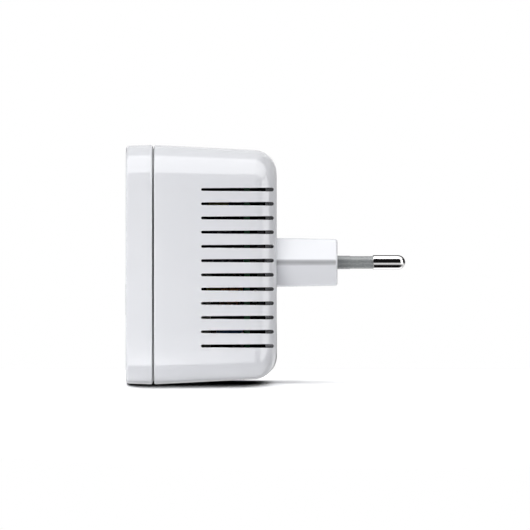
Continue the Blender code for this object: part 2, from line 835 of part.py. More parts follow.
def mains_filter():
    """Toroid choke, X and Y capacitors, varistor and fuse."""
    y, z = -14.4 * MM, -10.0 * MM
    centre = Vector((POWER_BOARD_X - 4.0 * MM, y, MID_Z + z))
    core = bmesh.new()
    disc(core, TOROID_RADIUS, -TOROID_HALF_THICKNESS, TOROID_HALF_THICKNESS, centre, (1, 0, 0), 24)
    obj = finish("choke_core", core, material("toroid_core", (0.05, 0.22, 0.16), 0.45))
    hole = bmesh.new()
    disc(hole, TOROID_BORE, -4 * MM, 4 * MM, centre, (1, 0, 0), 24)
    cut(obj, hole, "choke_bore")
    for side, name in ((-1, "near"), (1, "far")):
        choke_winding(f"choke_winding_{name}", centre, side)
    box_on_board(
        "x_capacitor",
        POWER_BOARD_X,
        -1,
        (0, -6.0 * MM),
        (10.5 * MM, 13.0 * MM, 5.0 * MM),
        material("film_capacitor_yellow", (0.62, 0.42, 0.06), 0.35),
        0.3 * MM,
    )
    disc_part("varistor", 14.2 * MM, -17.4 * MM, 4.3 * MM, 3.6 * MM, (0.02, 0.07, 0.28))
    disc_part("y_capacitor", -14.0 * MM, -18.4 * MM, 3.8 * MM, 2.8 * MM, (0.02, 0.12, 0.4))
    fuse = bmesh.new()
    turned(
        fuse,
        [
            (3.9 * MM, CLEARANCE),
            (4.1 * MM, CLEARANCE + 0.2 * MM),
            (4.1 * MM, 7.4 * MM),
            (3.8 * MM, 7.8 * MM),
        ],
        (POWER_BOARD_X, 14.4 * MM, MID_Z - 9.0 * MM),
        (-1, 0, 0),
        24,
    )
    finish("fuse", fuse, material("fuse_cap", (0.16, 0.05, 0.03), 0.45))


def choke_winding(name, centre, side):
    """Half of the toroid's winding: a sleeve that wraps its section, ribbed by the turns of wire."""
    turns, start, sweep = 9, math.radians(35), math.radians(110)
    gap, wire = 0.15 * MM, 0.7 * MM
    bm = bmesh.new()
    outer_loops = []
    inner_loops = []
    for step in range(2 * turns + 1):
        angle = side * (start + sweep * step / (2 * turns))
        swell = wire if step % 2 else wire * 0.6
        outer_loops.append(toroid_section(bm, centre, angle, gap + swell))
        inner_loops.append(toroid_section(bm, centre, angle, gap))
    for loops in (outer_loops, inner_loops):
        for first, second in zip(loops, loops[1:]):
            bridge(bm, first, second)
    for end in (0, -1):
        bridge(bm, outer_loops[end], inner_loops[end])
    finish(name, bm, copper_wire(), centre, 20.0)


def toroid_section(bm, centre, angle, outset):
    """The toroid's square section at an angle about X, grown by outset, as four new vertices."""
    radial = Vector((0, math.sin(angle), math.cos(angle)))
    low, high = TOROID_BORE - outset, TOROID_RADIUS + outset
    deep = TOROID_HALF_THICKNESS + outset
    corners = ((low, -deep), (high, -deep), (high, deep), (low, deep))
    return [bm.verts.new(centre + radial * r + Vector((x, 0, 0))) for r, x in corners]


def disc_part(name, y, z, radius, thickness, colour):
    """A coated disc that stands on edge on its leads."""
    bm = bmesh.new()
    half = thickness / 2
    turned(
        bm,
        [(radius * 0.72, -half), (radius, -half * 0.5), (radius, half * 0.5), (radius * 0.72, half)],
        (POWER_BOARD_X - CLEARANCE - radius, y, MID_Z + z),
        (0, 0, 1),
        20,
    )
    finish(name, bm, material(f"{name}_coating", colour, 0.35))


def power_stage():
    """Rectifier, switching chip, optocoupler, storage, output filter and the mains coupling transformer."""
    for index, z in enumerate((10.2, 0.9), start=1):
        can(f"bulk_capacitor_{index}", -15.0 * MM, z * MM, 4.0 * MM, 12.0 * MM)
    for index, z in enumerate((14.2, 7.2), start=1):
        can(f"output_capacitor_{index}", 13.0 * MM, z * MM, 3.15 * MM, 11.0 * MM)
    drum = bmesh.new()
    turned(
        drum,
        [
            (3.0 * MM, CLEARANCE),
            (3.0 * MM, 1.4 * MM),
            (2.5 * MM, 1.6 * MM),
            (2.5 * MM, 6.2 * MM),
            (3.0 * MM, 6.4 * MM),
            (3.0 * MM, 7.4 * MM),
        ],
        (POWER_BOARD_X, 15.4 * MM, MID_Z + 0.4 * MM),
        (-1, 0, 0),
        24,
    )
    finish("output_choke", drum, ferrite())
    diode = bmesh.new()
    turned(
        diode,
        [(2.0 * MM, -4.2 * MM), (2.4 * MM, -3.9 * MM), (2.4 * MM, 3.9 * MM), (2.0 * MM, 4.2 * MM)],
        (POWER_BOARD_X - CLEARANCE - 2.4 * MM, 11.4 * MM, MID_Z + 25.4 * MM),
        (0, 1, 0),
        20,
    )
    finish("output_diode", diode, chip_plastic())
    for name, y, z, height, width, tall, surface in (
        ("coupling_transformer", 1.4, 25.2, 7.2, 8.4, 6.6, ferrite()),
        ("bridge_rectifier", -4.6, -15.4, 3.0, 6.4, 5.0, chip_plastic()),
        ("switching_chip", 4.4, -15.6, 3.6, 9.0, 6.4, chip_plastic()),
        ("optocoupler", 0.0, -23.4, 3.6, 4.6, 6.4, chip_plastic()),
    ):
        size = (height * MM, width * MM, tall * MM)
        box_on_board(name, POWER_BOARD_X, -1, (y * MM, z * MM), size, surface, 0.15 * MM)


# ---------------------------------------------------------------- main board side


def main_chips():
    """Everything soldered to the back of the main board, apart from the jack."""
    for name, y, z, height, width, tall, surface in (
        ("modem_chip", 0.0, 15.0, 1.3, 12.0, 12.0, chip_plastic()),
        ("memory_chip", -14.6, 8.0, 1.4, 8.0, 10.6, chip_plastic()),
        ("flash_chip", -14.8, -3.4, 1.9, 5.0, 5.4, chip_plastic()),
        ("network_chip", 14.4, 4.0, 1.5, 7.2, 7.2, chip_plastic()),
        ("network_transformer", 0.0, -3.6, 4.6, 12.6, 7.0, black_plastic()),
        ("crystal", 14.0, -6.4, 3.4, 4.6, 10.6, steel()),
    ):
        size = (height * MM, width * MM, tall * MM)
        box_on_board(name, MAIN_REAR_X, 1, (y * MM, z * MM), size, surface, 0.15 * MM)
    pad_start = MAIN_REAR_X + 1.4 * MM
    pad_end = pad_start + 0.5 * MM
    pad = bmesh.new()
    half = 5.6 * MM
    level = MID_Z + 15.0 * MM
    add_box(pad, (pad_start, -half, level - half), (pad_end, half, level + half))
    finish("thermal_pad", pad, material("thermal_pad", (0.45, 0.5, 0.55), 0.8))
    heat_sink(pad_end + 0.1 * MM, level)


def heat_sink(base_x, level):
    """A finned aluminium block on the modem chip."""
    half, height, fins = 8.0 * MM, 4.4 * MM, 6
    bm = bmesh.new()
    add_box(bm, (base_x, -half, level - half), (base_x + height, half, level + half))
    obj = finish("heat_sink", bm, material("black_aluminium", (0.05, 0.05, 0.055), 0.4, 0.6))
    gaps = bmesh.new()
    pitch = 2 * half / fins
    for index in range(fins - 1):
        y = -half + pitch * (index + 1)
        add_box(
            gaps,
            (base_x + 1.3 * MM, y - 0.7 * MM, level - half - 1 * MM),
            (base_x + height + 1 * MM, y + 0.7 * MM, level + half + 1 * MM),
        )
    cut(obj, gaps, "fins")


def network_jack():
    """Steel shield, moulded insert with the plug's way and latch slot, and the eight contact springs."""
    front, back = MAIN_REAR_X + CLEARANCE, MAIN_REAR_X + JACK_DEPTH
    half = JACK_WIDTH / 2
    top = JACK_MOUTH_Z + JACK_LENGTH
    shield = bmesh.new()
    add_box(shield, (front, -half, JACK_MOUTH_Z), (back, half, top))
    obj = finish("jack_shield", shield, steel())
    inside = bmesh.new()
    add_box(
        inside,
        (front + JACK_WALL, -half + JACK_WALL, JACK_MOUTH_Z - 1 * MM),
        (back - JACK_WALL, half - JACK_WALL, top - JACK_WALL),
    )
    cut(obj, inside, "shield_inside")
    gap = 0.15 * MM
    insert = bmesh.new()
    low = Vector((front + JACK_WALL + gap, -half + JACK_WALL + gap, JACK_MOUTH_Z + 0.3 * MM))
    high = Vector((back - JACK_WALL - gap, half - JACK_WALL - gap, top - JACK_WALL - gap))
    add_box(insert, low, high)
    obj = finish("jack_insert", insert, black_plastic())
    way_low, way_high = plugway_span()
    way = bmesh.new()
    add_box(
        way,
        (way_low, -PLUGWAY_WIDTH / 2, JACK_MOUTH_Z - 1 * MM),
        (way_high, PLUGWAY_WIDTH / 2, JACK_MOUTH_Z + PLUGWAY_LENGTH),
    )
    cut(obj, way, "plugway")
    latch = bmesh.new()
    add_box(
        latch,
        (way_high - 0.5 * MM, -LATCHWAY_WIDTH / 2, JACK_MOUTH_Z - 1 * MM),
        (way_high + LATCHWAY_DEPTH, LATCHWAY_WIDTH / 2, JACK_MOUTH_Z + PLUGWAY_LENGTH),
    )
    cut(obj, latch, "latchway")
    pocket = bmesh.new()
    add_box(
        pocket,
        (way_low - 1.2 * MM, -5.0 * MM, JACK_MOUTH_Z + 4.4 * MM),
        (way_low + 0.5 * MM, 5.0 * MM, JACK_MOUTH_Z + PLUGWAY_LENGTH),
    )
    cut(obj, pocket, "contact_pocket")
    jack_contacts(way_low)


def plugway_span():
    """The X span of the way that takes the network plug's body."""
    low = MAIN_REAR_X + 2.4 * MM
    return low, low + PLUGWAY_DEPTH


def jack_contacts(way_low):
    """Eight gold springs that rise out of one bar, as a comb."""
    pitch, width, thick = 1.02 * MM, 0.46 * MM, 0.3 * MM
    bar_low = JACK_MOUTH_Z + 12.6 * MM
    bm = bmesh.new()
    add_box(
        bm,
        (way_low - 1.0 * MM, -4.6 * MM, bar_low),
        (way_low - 0.2 * MM, 4.6 * MM, bar_low + 2.2 * MM),
    )
    obj = finish("jack_contacts", bm, material("gold_plate", (0.83, 0.6, 0.2), 0.2, 1.0))
    springs = bmesh.new()
    start = Vector((way_low - 0.6 * MM, 0, bar_low + 0.6 * MM))
    end = Vector((way_low + 1.5 * MM, 0, JACK_MOUTH_Z + 6.0 * MM))
    along = (end - start).normalized()
    normal = Vector((along.z, 0, -along.x))
    for index in range(8):
        y = (index - 3.5) * pitch
        root = []
        for across, deep in ((-1, -1), (-1, 1), (1, 1), (1, -1)):
            root.append(start + normal * deep * thick / 2 + Vector((0, y + across * width / 2, 0)))
        skin(springs, [root, [point + (end - start) for point in root]])
    join(obj, springs, "springs")


def switch(prefix, base, axis, across, height, size, radius):
    """A tact switch that stands along axis: square body, and a round plunger that can be pressed in."""
    base, axis, across = Vector(base), Vector(axis), Vector(across)
    third = axis.cross(across)
    half = size / 2
    body = bmesh.new()
    corners = [across * (s * half) + third * (t * half) for s, t in ((-1, -1), (1, -1), (1, 1), (-1, 1))]
    skin(body, [[base + corner + axis * station for corner in corners] for station in (CLEARANCE, height)])
    obj = finish(f"{prefix}_switch_body", body, black_plastic())
    well = bmesh.new()
    floor = height - PLUNGER_SEAT - PRESS_TRAVEL - 0.1 * MM
    disc(well, radius + 0.15 * MM, floor, height + 1 * MM, base, axis, 20)
    cut(obj, well, f"{prefix}_well")
    plunger = bmesh.new()
    profile = [
        (radius, height - PLUNGER_SEAT),
        (radius, height + PLUNGER_PROUD - 0.2 * MM),
        (radius - 0.2 * MM, height + PLUNGER_PROUD),
    ]
    turned(plunger, profile, base, axis, 20)
    dark = material("plunger_plastic", (0.08, 0.08, 0.085), 0.4)
    finish(f"{prefix}_switch_plunger", plunger, dark, base + axis * height)


def switches():
    switch(
        "pairing",
        (MAIN_BOARD_X, 0, BUTTON_Z),
        (-1, 0, 0),
        (0, 1, 0),
        SWITCH_HEIGHT,
        SWITCH_SIZE,
        PLUNGER_RADIUS,
    )
    switch(
        "reset",
        (RESET_X, RESET_Y, RESET_SWITCH_TOP_Z),
        (0, 0, -1),
        (1, 0, 0),
        RESET_SWITCH_HEIGHT,
        RESET_SWITCH_SIZE,
        RESET_PLUNGER_RADIUS,
    )


def pairing_button():
    """The cap fills the hole in the cover, its flange keeps it in, and its stem reaches the switch."""
    flange_x = INNER_FRONT_X + 0.15 * MM
    stem_end = MAIN_BOARD_X - SWITCH_HEIGHT - PLUNGER_PROUD - 0.1 * MM
    face_x = FRONT_X - BUTTON_PROUD
    bm = bmesh.new()
    turned(
        bm,
        [
            (BUTTON_RADIUS - 0.45 * MM, face_x),
            (BUTTON_RADIUS - 0.12 * MM, face_x + 0.12 * MM),
            (BUTTON_RADIUS, face_x + 0.45 * MM),
            (BUTTON_RADIUS, flange_x),
            (BUTTON_FLANGE_RADIUS, flange_x),
            (BUTTON_FLANGE_RADIUS, flange_x + 0.7 * MM),
            (BUTTON_STEM_RADIUS, flange_x + 0.7 * MM),
            (BUTTON_STEM_RADIUS, stem_end),
        ],
        (0, 0, BUTTON_Z),
        (1, 0, 0),
        32,
    )
    finish("pairing_button", bm, white_plastic(), (face_x, 0, BUTTON_Z))


def light_positions():
    return [index * LIGHT_SPACING for index in (-1, 0, 1)]


def indicators():
    """Three surface-mount lamps and the one-piece light guide over them."""
    guide_end = MAIN_BOARD_X - 1.1 * MM
    bridge_x = INNER_FRONT_X + CLEARANCE
    bm = bmesh.new()
    slab(
        bm,
        rounded_outline(LIGHT_SPACING + 2 * MM, 1.6 * MM, 1.2 * MM, 3),
        bridge_x,
        bridge_x + 1.2 * MM,
        lambda a, b, x: Vector((x, a, LIGHT_Z + b)),
    )
    clear = material("clear_acrylic", (0.85, 0.88, 0.9), 0.08, 0.0, 0.6)
    guide = finish("light_guide", bm, clear)
    rods = bmesh.new()
    for y in light_positions():
        disc(rods, LIGHT_RADIUS, FRONT_X + 0.05 * MM, guide_end, (0, y, LIGHT_Z), (1, 0, 0), 16)
    join(guide, rods, "guide_rods")
    for y, name in zip(light_positions(), ("near", "middle", "far")):
        lamp = bmesh.new()
        add_box(
            lamp,
            (MAIN_BOARD_X - 0.85 * MM, y - 0.8 * MM, LIGHT_Z - 0.45 * MM),
            (MAIN_BOARD_X - CLEARANCE / 3, y + 0.8 * MM, LIGHT_Z + 0.45 * MM),
        )
        finish(f"indicator_lamp_{name}", lamp, material("lamp_resin", (0.8, 0.75, 0.5), 0.3))


def build():
    clear_scene()
    front_cover()
    rear_housing()
    rating_label()
    plug_insert()
    pins()
    boards()
    screws()
    board_link()
    transformer()
    mains_filter()
    power_stage()
    main_chips()
    network_jack()
    switches()
    pairing_button()
    indicators()


build()
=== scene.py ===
"""The looks of the plug-in powerline adapter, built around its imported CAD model.

The casing, plug, pins, sleeves, button, lenses and label get fine surfaces of their own. Every other piece
keeps its CAD shape and gets a procedural material. Places come from the frame's boxes and the driving sizes.
"""

import json
import math

import bpy
from mathutils import Matrix, Vector
from mathutils.geometry import tessellate_polygon

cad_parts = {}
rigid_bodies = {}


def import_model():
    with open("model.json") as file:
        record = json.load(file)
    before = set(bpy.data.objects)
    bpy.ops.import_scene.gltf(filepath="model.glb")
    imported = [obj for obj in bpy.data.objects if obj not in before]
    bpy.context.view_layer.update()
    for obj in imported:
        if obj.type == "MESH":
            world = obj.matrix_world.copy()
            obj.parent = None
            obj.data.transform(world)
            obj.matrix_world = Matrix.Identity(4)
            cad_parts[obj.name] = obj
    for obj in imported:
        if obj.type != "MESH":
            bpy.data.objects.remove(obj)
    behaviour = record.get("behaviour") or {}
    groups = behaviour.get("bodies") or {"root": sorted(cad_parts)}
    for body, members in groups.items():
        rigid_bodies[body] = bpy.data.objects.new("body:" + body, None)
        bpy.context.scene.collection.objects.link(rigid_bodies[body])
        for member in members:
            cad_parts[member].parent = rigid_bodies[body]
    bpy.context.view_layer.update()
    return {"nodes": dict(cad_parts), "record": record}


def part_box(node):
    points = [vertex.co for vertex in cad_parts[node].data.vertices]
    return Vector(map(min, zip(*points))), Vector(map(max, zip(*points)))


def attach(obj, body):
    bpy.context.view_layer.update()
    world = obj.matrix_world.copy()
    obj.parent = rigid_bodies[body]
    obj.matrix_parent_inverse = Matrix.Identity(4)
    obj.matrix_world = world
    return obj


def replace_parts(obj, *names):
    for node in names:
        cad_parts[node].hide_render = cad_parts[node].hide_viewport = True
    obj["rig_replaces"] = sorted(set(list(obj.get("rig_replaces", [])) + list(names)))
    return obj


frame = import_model()

MM = 0.001

# -------------------- sizes, from the frame


def corners(node):
    low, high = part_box(node)
    return Vector(low), Vector(high)


COVER_LOW, _ = corners("front_cover")
HOUSING_LOW, HOUSING_HIGH = corners("rear_housing")
LABEL_LOW, LABEL_HIGH = corners("rating_label")
SHIELD_LOW, SHIELD_HIGH = corners("jack_shield")
BUTTON_LOW, BUTTON_HIGH = corners("pairing_button")
GUIDE_LOW, GUIDE_HIGH = corners("light_guide")
RESET_LOW, RESET_HIGH = corners("reset_switch_plunger")

CAD_SEAM_GAP = 0.65 * MM
SEAM_GAP = 0.44 * MM
FRONT_X = COVER_LOW.x
BACK_X = HOUSING_HIGH.x
SEAM_X = HOUSING_LOW.x - CAD_SEAM_GAP / 2
RIM_X = SEAM_X + SEAM_GAP / 2
HALF_WIDTH = 25.5 * MM
HALF_HEIGHT = 33.6 * MM
MID_Z = (HOUSING_LOW.z + HOUSING_HIGH.z) / 2

CORNER_RADIUS = 13.8 * MM
FLAT_Y = HALF_WIDTH - CORNER_RADIUS
FLAT_Z = HALF_HEIGHT - CORNER_RADIUS
REAR_DRAFT = math.tan(math.radians(2.9))
COVER_DRAFT = math.tan(math.radians(1.8))
BACK_FILLET = 6.3 * MM
FRONT_FILLET = 0.8 * MM
RIM_ROUND = 0.45 * MM
WALL = 2.2 * MM
INNER_BACK_X = BACK_X - 3.2 * MM
INNER_FRONT_X = FRONT_X + 2.0 * MM
LIP = 0.8 * MM
TONGUE_OUTSET = 1.0 * MM
TONGUE_INSET = 2.0 * MM
TONGUE_REACH = 2.0 * MM
ARC_STEPS = 14
# The underside's strip takes in this many arc rows on the far side, round the reset hole.
UNDER_ROWS = 2
# The side's rows reach this far on to the corners, because the first and last slots do.
ARC_MARGIN = 3.8 * MM

SLOT_COUNT = 12
SLOT_PITCH = 3.98 * MM
SLOT_MID = -0.9 * MM
SLOT_FRONT_X = -38.2 * MM
SLOT_BACK_X = -17.9 * MM
SLOT_FRONT_HALF = 0.38 * MM
SLOT_BACK_HALF = 0.52 * MM
SLOT_FLOOR_Y = HALF_WIDTH - 6.2 * MM
SLOT_MOUTH = 0.18 * MM
SLOT_TIP_STEPS = 5
SLOT_ROWS = range(0, 2 * SLOT_COUNT, 2)
FIRST_COLUMNS = [SEAM_X + 4 * MM, SEAM_X + 9 * MM]

PLUG_HEIGHT = 13.7 * MM
PLUG_WIDTH = 35.3 * MM
PLUG_FLAT = 26.1 * MM
PLUG_TAPER = 0.955
PLUG_EDGE_RADIUS = 1.9 * MM
PLUG_PLAY = 0.3 * MM
PIN_SPACING = 18.6 * MM
PIN_TIP_SPACING = 17.5 * MM
PIN_LENGTH = 19.0 * MM
PIN_RADIUS = 2.0 * MM
SLEEVE_LENGTH = 10.0 * MM
SLEEVE_RADIUS = 1.78 * MM
COLLAR_RADIUS = 1.9 * MM
COLLAR_LENGTH = 3.5 * MM

JACK_MID_X = (SHIELD_LOW.x + SHIELD_HIGH.x) / 2
PORT_HALF = (5.8 * MM, 6.9 * MM)
PORT_ROUND = 0.8 * MM
RESET_X = (RESET_LOW.x + RESET_HIGH.x) / 2
RESET_Y = (RESET_LOW.y + RESET_HIGH.y) / 2
RESET_RADIUS = 0.9 * MM
BUTTON_Z = (BUTTON_LOW.z + BUTTON_HIGH.z) / 2
BUTTON_HOLE_RADIUS = 5.0 * MM
LIGHT_Z = (GUIDE_LOW.z + GUIDE_HIGH.z) / 2
LIGHT_HOLE_RADIUS = 1.15 * MM
DISH_RADIUS = 3.9 * MM
DISH_DEPTH = 0.3 * MM
AXIS_GAP = 0.03 * MM
LABEL_Z = (LABEL_LOW.z + LABEL_HIGH.z) / 2
LABEL_HALF = ((LABEL_HIGH.y - LABEL_LOW.y) / 2, (LABEL_HIGH.z - LABEL_LOW.z) / 2)

TINY = 0.001 * MM
OUTSIDE, INSIDE, SEAM = 0, 1, 2


# -------------------- surfaces with exact normals


class Skin:
    """Collects faces with the normal at each of their corners, then makes one welded mesh."""

    def __init__(self):
        self.points = []
        self.index = {}
        self.faces = []
        self.normals = []
        self.surfaces = []

    def vertex(self, point):
        key = tuple(round(value / TINY) for value in point)
        if key not in self.index:
            self.index[key] = len(self.points)
            self.points.append(Vector(point))
        return self.index[key]

    def face(self, ring, surface=OUTSIDE):
        """A face from (point, normal) pairs, without points that meet, turned to face its normals."""
        kept = []
        for point, normal in ring:
            vertex = self.vertex(point)
            if not any(vertex == other for other, _ in kept):
                kept.append((vertex, normal))
        if len(kept) < 3:
            return
        middle = sum((self.points[v] for v, _ in kept), Vector()) / len(kept)
        area = Vector()
        for i in range(len(kept)):
            first, second = self.points[kept[i - 1][0]], self.points[kept[i][0]]
            area += (first - middle).cross(second - middle)
        if area.dot(sum((normal for _, normal in kept), Vector())) < 0:
            kept.reverse()
        self.faces.append([v for v, _ in kept])
        self.normals.extend(normal.normalized() for _, normal in kept)
        self.surfaces.append(surface)

    def strip(self, first, second, surface=OUTSIDE):
        """Quads between two rings of (point, normal) pairs."""
        for i in range(len(first)):
            j = (i + 1) % len(first)
            self.face([first[i], first[j], second[j], second[i]], surface)

    def loft(self, rings, surface=OUTSIDE):
        """Joins each ring to the next."""
        for first, second in zip(rings, rings[1:]):
            self.strip(first, second, surface)

    def patch(self, outlines, surface=OUTSIDE):
        """A nearly flat face with holes, from (point, normal) pairs. The first outline is its edge."""
        pairs = [pair for outline in outlines for pair in outline]
        for triangle in tessellate_polygon([[point for point, _ in outline] for outline in outlines]):
            self.face([pairs[i] for i in triangle], surface)

    def flat(self, outlines, normal, surface=OUTSIDE):
        """A flat face with holes. The first outline is its edge."""
        self.patch([[(point, normal) for point in outline] for outline in outlines], surface)

    def build(self, name, surfaces):
        mesh = bpy.data.meshes.new(name)
        mesh.from_pydata(self.points, [], self.faces)
        for surface in surfaces:
            mesh.materials.append(surface)
        mesh.polygons.foreach_set("material_index", self.surfaces)
        mesh.shade_smooth()
        mesh.normals_split_custom_set([tuple(normal) for normal in self.normals])
        obj = bpy.data.objects.new(name, mesh)
        bpy.context.scene.collection.objects.link(obj)
        return obj


def turned(skin, profile, centre, axis, steps=64):
    """A surface of revolution. The profile lists runs of (radius, distance, normal out, normal along)."""
    direction = Vector(axis).normalized()
    side = direction.orthogonal().normalized()
    across = direction.cross(side)
    spokes = []
    for i in range(steps):
        angle = 2 * math.pi * i / steps
        spokes.append(side * math.cos(angle) + across * math.sin(angle))
    for run in profile:
        rings = []
        for radius, along, out, forward in run:
            ring = []
            for spoke in spokes:
                point = Vector(centre) + direction * along + spoke * radius
                ring.append((point, spoke * out + direction * forward))
            rings.append(ring)
        skin.loft(rings)


def quarter_turn(steps):
    """Angles from zero to a quarter turn."""
    return [math.pi / 2 * step / steps for step in range(steps + 1)]


def straight(start, end):
    """A run of a turned profile with a sharp edge at both ends: start and end are (radius, distance)."""
    along = Vector((end[1] - start[1], -(end[0] - start[0])))
    along.normalize()
    return [(*start, along.x, along.y), (*end, along.x, along.y)]


def path(*points):
    """Straight runs from each point to the next."""
    return [straight(start, end) for start, end in zip(points, points[1:])]


def arc_run(centre, radius, start, end, steps=6):
    """A rounded edge about a (radius, distance) centre, between two angles in degrees from outward."""
    run = []
    for i in range(steps + 1):
        angle = math.radians(start + (end - start) * i / steps)
        out, forward = math.cos(angle), math.sin(angle)
        run.append((centre[0] + radius * out, centre[1] + radius * forward, out, forward))
    return run


def opening(skin, outline, place, mouth, depth, steps=4):
    """The rounded mouth and straight wall of an opening in a flat face.

    outline(outset) lists (a, b, outward a, outward b). place(a, b, down) gives a point, with down measured
    into the material. Returns the points of the mouth's outer edge and of the wall's far edge.
    """
    origin = place(0, 0, 0)
    axis_a = (place(MM, 0, 0) - origin) / MM
    axis_b = (place(0, MM, 0) - origin) / MM
    into = (place(0, 0, MM) - origin) / MM
    rings = []
    for angle in quarter_turn(steps):
        ring = []
        for a, b, out_a, out_b in outline(mouth * (1 - math.sin(angle))):
            inward = -(axis_a * out_a + axis_b * out_b)
            normal = -into * math.cos(angle) + inward * math.sin(angle)
            ring.append((place(a, b, mouth * (1 - math.cos(angle))), normal))
        rings.append(ring)
    wall = []
    for a, b, out_a, out_b in outline(0.0):
        wall.append((place(a, b, depth), -(axis_a * out_a + axis_b * out_b)))
    skin.loft(rings + [wall])
    return points_of(rings[0]), points_of(wall)


def on_face(x, toward):
    """Places points on a flat face at x that faces toward along X, for an opening."""
    return lambda a, b, down: Vector((x - toward * down, a, b))


def points_of(ring):
    return [point for point, _ in ring]


def ring_at(x, outline, along=0.0, out=1.0):
    """An outline in (y, z) as a ring at x. Its normals have a share along X and a share outward."""
    return [(Vector((x, a, b)), Vector((along, out_a * out, out_b * out))) for a, b, out_a, out_b in outline]


def bar(skin, outline, near, far, surface=OUTSIDE):
    """A bar along X with an outline in (y, z) as its section."""
    rings = [ring_at(near, outline), ring_at(far, outline)]
    skin.loft(rings, surface)
    for ring, toward in zip(rings, (-1, 1)):
        skin.flat([points_of(ring)], Vector((toward, 0, 0)), surface)


def circle_outline(centre, radius, steps=48):
    """A circle, as an outline in two axes that can be made larger or smaller."""

    def outline(outset):
        ring = []
        for i in range(steps):
            angle = 2 * math.pi * i / steps
            out = (math.cos(angle), math.sin(angle))
            reach = radius + outset
            ring.append((centre[0] + reach * out[0], centre[1] + reach * out[1], *out))
        return ring

    return outline


def rectangle_outline(centre, half, radius, steps=5):
    """A rectangle with round corners, as an outline in two axes that can be made larger or smaller."""

    def outline(outset):
        ring = []
        for corner in range(4):
            sign_a = 1 if corner in (0, 3) else -1
            sign_b = 1 if corner in (0, 1) else -1
            for step in range(steps + 1):
                angle = math.pi / 2 * (corner + step / steps)
                out = (math.cos(angle), math.sin(angle))
                a = centre[0] + sign_a * (half[0] - radius) + (radius + outset) * out[0]
                b = centre[1] + sign_b * (half[1] - radius) + (radius + outset) * out[1]
                ring.append((a, b, *out))
        return ring

    return outline


# -------------------- casing sections


def draft_at(x):
    """How far the casing's side has drawn in at x, from the seam."""
    return REAR_DRAFT * (x - SEAM_X) if x > SEAM_X else COVER_DRAFT * (SEAM_X - x)


def section_radius(x, inset):
    return CORNER_RADIUS - draft_at(x) - inset


def arc_rows(radius, upper, margin):
    """A corner from the top or bottom of the casing to its side, as (y, z, out y, out z)."""
    start = math.asin(margin / radius)
    rows = []
    for step in range(ARC_STEPS + 1):
        angle = start + (math.pi / 2 - start) * step / ARC_STEPS
        out = (math.cos(angle), math.sin(angle))
        rows.append((FLAT_Y + radius * out[0], FLAT_Z + radius * out[1], *out))
    if upper:
        return rows
    return [(y, -z, out_y, -out_z) for y, z, out_y, out_z in reversed(rows)]


def side_row(radius, level):
    """A point of the casing's side at a height from its middle, on the flat or on the start of a corner."""
    over = max(abs(level) - FLAT_Z, 0.0)
    lean = math.asin(over / radius)
    out = (math.cos(lean), math.copysign(math.sin(lean), level))
    return (FLAT_Y + radius * out[0], level, *out)


def section(station, levels, margin):
    """Half of the casing's section at a station (x, inset, along x, out), from its bottom to its top."""
    radius = section_radius(station[0], station[1])
    rows = arc_rows(radius, False, margin)
    rows += [side_row(radius, level) for level in levels]
    rows += arc_rows(radius, True, margin)
    return rows


def corner_of(station, row, side, facing):
    """The point and normal where a row crosses a station, on the near or far side."""
    x, _, along, out = station
    y, z, out_y, out_z = row
    normal = Vector((along, side * out_y * out, out_z * out)) * facing
    return Vector((x, side * y, MID_Z + z)), normal


def sweep(skin, stations, levels_at, margin=0.0, holes=(), facing=1, surface=OUTSIDE, open_bottom=False):
    """Joins the casing's sections. Rows whose numbers are in holes aren't joined to the next row.

    An open bottom leaves out what the underside's strip covers.
    """
    halves = {1: [], -1: []}
    for station in stations:
        rows = section(station, levels_at(station), margin)
        for side in halves:
            halves[side].append([corner_of(station, row, side, facing) for row in rows])
    skipped = {ARC_STEPS + 1 + row for row in holes}
    for side, rows in halves.items():
        taken = range(UNDER_ROWS if open_bottom and side == 1 else 0)
        for first, second in zip(rows, rows[1:]):
            for i in range(len(first) - 1):
                if i not in skipped and i not in taken:
                    skin.face([first[i], first[i + 1], second[i + 1], second[i]], surface)
    for i in range(len(stations) - 1):
        for end in (0, -1):
            if end == 0 and open_bottom:
                continue
            ring = [halves[side][k][end] for side, k in ((1, i), (1, i + 1), (-1, i + 1), (-1, i))]
            skin.face(ring, surface)


def section_outline(station, levels, margin=0.0):
    """The whole section as a closed list of points."""
    rows = section(station, levels, margin)
    near = [corner_of(station, row, -1, 1)[0] for row in rows]
    far = [corner_of(station, row, 1, 1)[0] for row in reversed(rows)]
    return without_repeats(near + far)


def without_repeats(points):
    kept = []
    for point in points:
        if not kept or (point - kept[-1]).length > 2 * TINY:
            kept.append(point)
    while (kept[0] - kept[-1]).length <= 2 * TINY:
        kept.pop()
    return kept


def plain_levels(_station):
    return [-FLAT_Z, FLAT_Z]


def drafted(x, inset=0.0):
    """A station on the straight side of the casing."""
    slope = REAR_DRAFT if x > SEAM_X else -COVER_DRAFT
    length = math.hypot(slope, 1)
    return (x, inset, slope / length, 1 / length)


def rim_stations(rim_x, toward):
    """The rounded outer edge of a rim. toward is the direction of the gap along X."""
    stations = []
    steps = 5
    for angle in quarter_turn(steps):
        x = rim_x - toward * RIM_ROUND * (1 - math.cos(angle))
        inset = RIM_ROUND * (1 - math.sin(angle))
        stations.append((x, inset, toward * math.cos(angle), math.sin(angle)))
    return stations


def flat_ring(x, outer, inner, along):
    """Two stations that span a flat end face of a wall."""
    return [(x, outer, along, 0.0), (x, inner, along, 0.0)]


# -------------------- vent slots


def fillet_station(x):
    """A station on the rear housing's outer skin: straight, then round towards the back."""
    over = min(max(x - (BACK_X - BACK_FILLET), 0.0), BACK_FILLET)
    rest = math.sqrt(max(BACK_FILLET**2 - over**2, 0.0))
    if rest < TINY:
        return (x, BACK_FILLET, 1.0, 0.0)
    slope = REAR_DRAFT + over / rest
    length = math.hypot(slope, 1)
    return (x, BACK_FILLET - rest, slope / length, 1 / length)


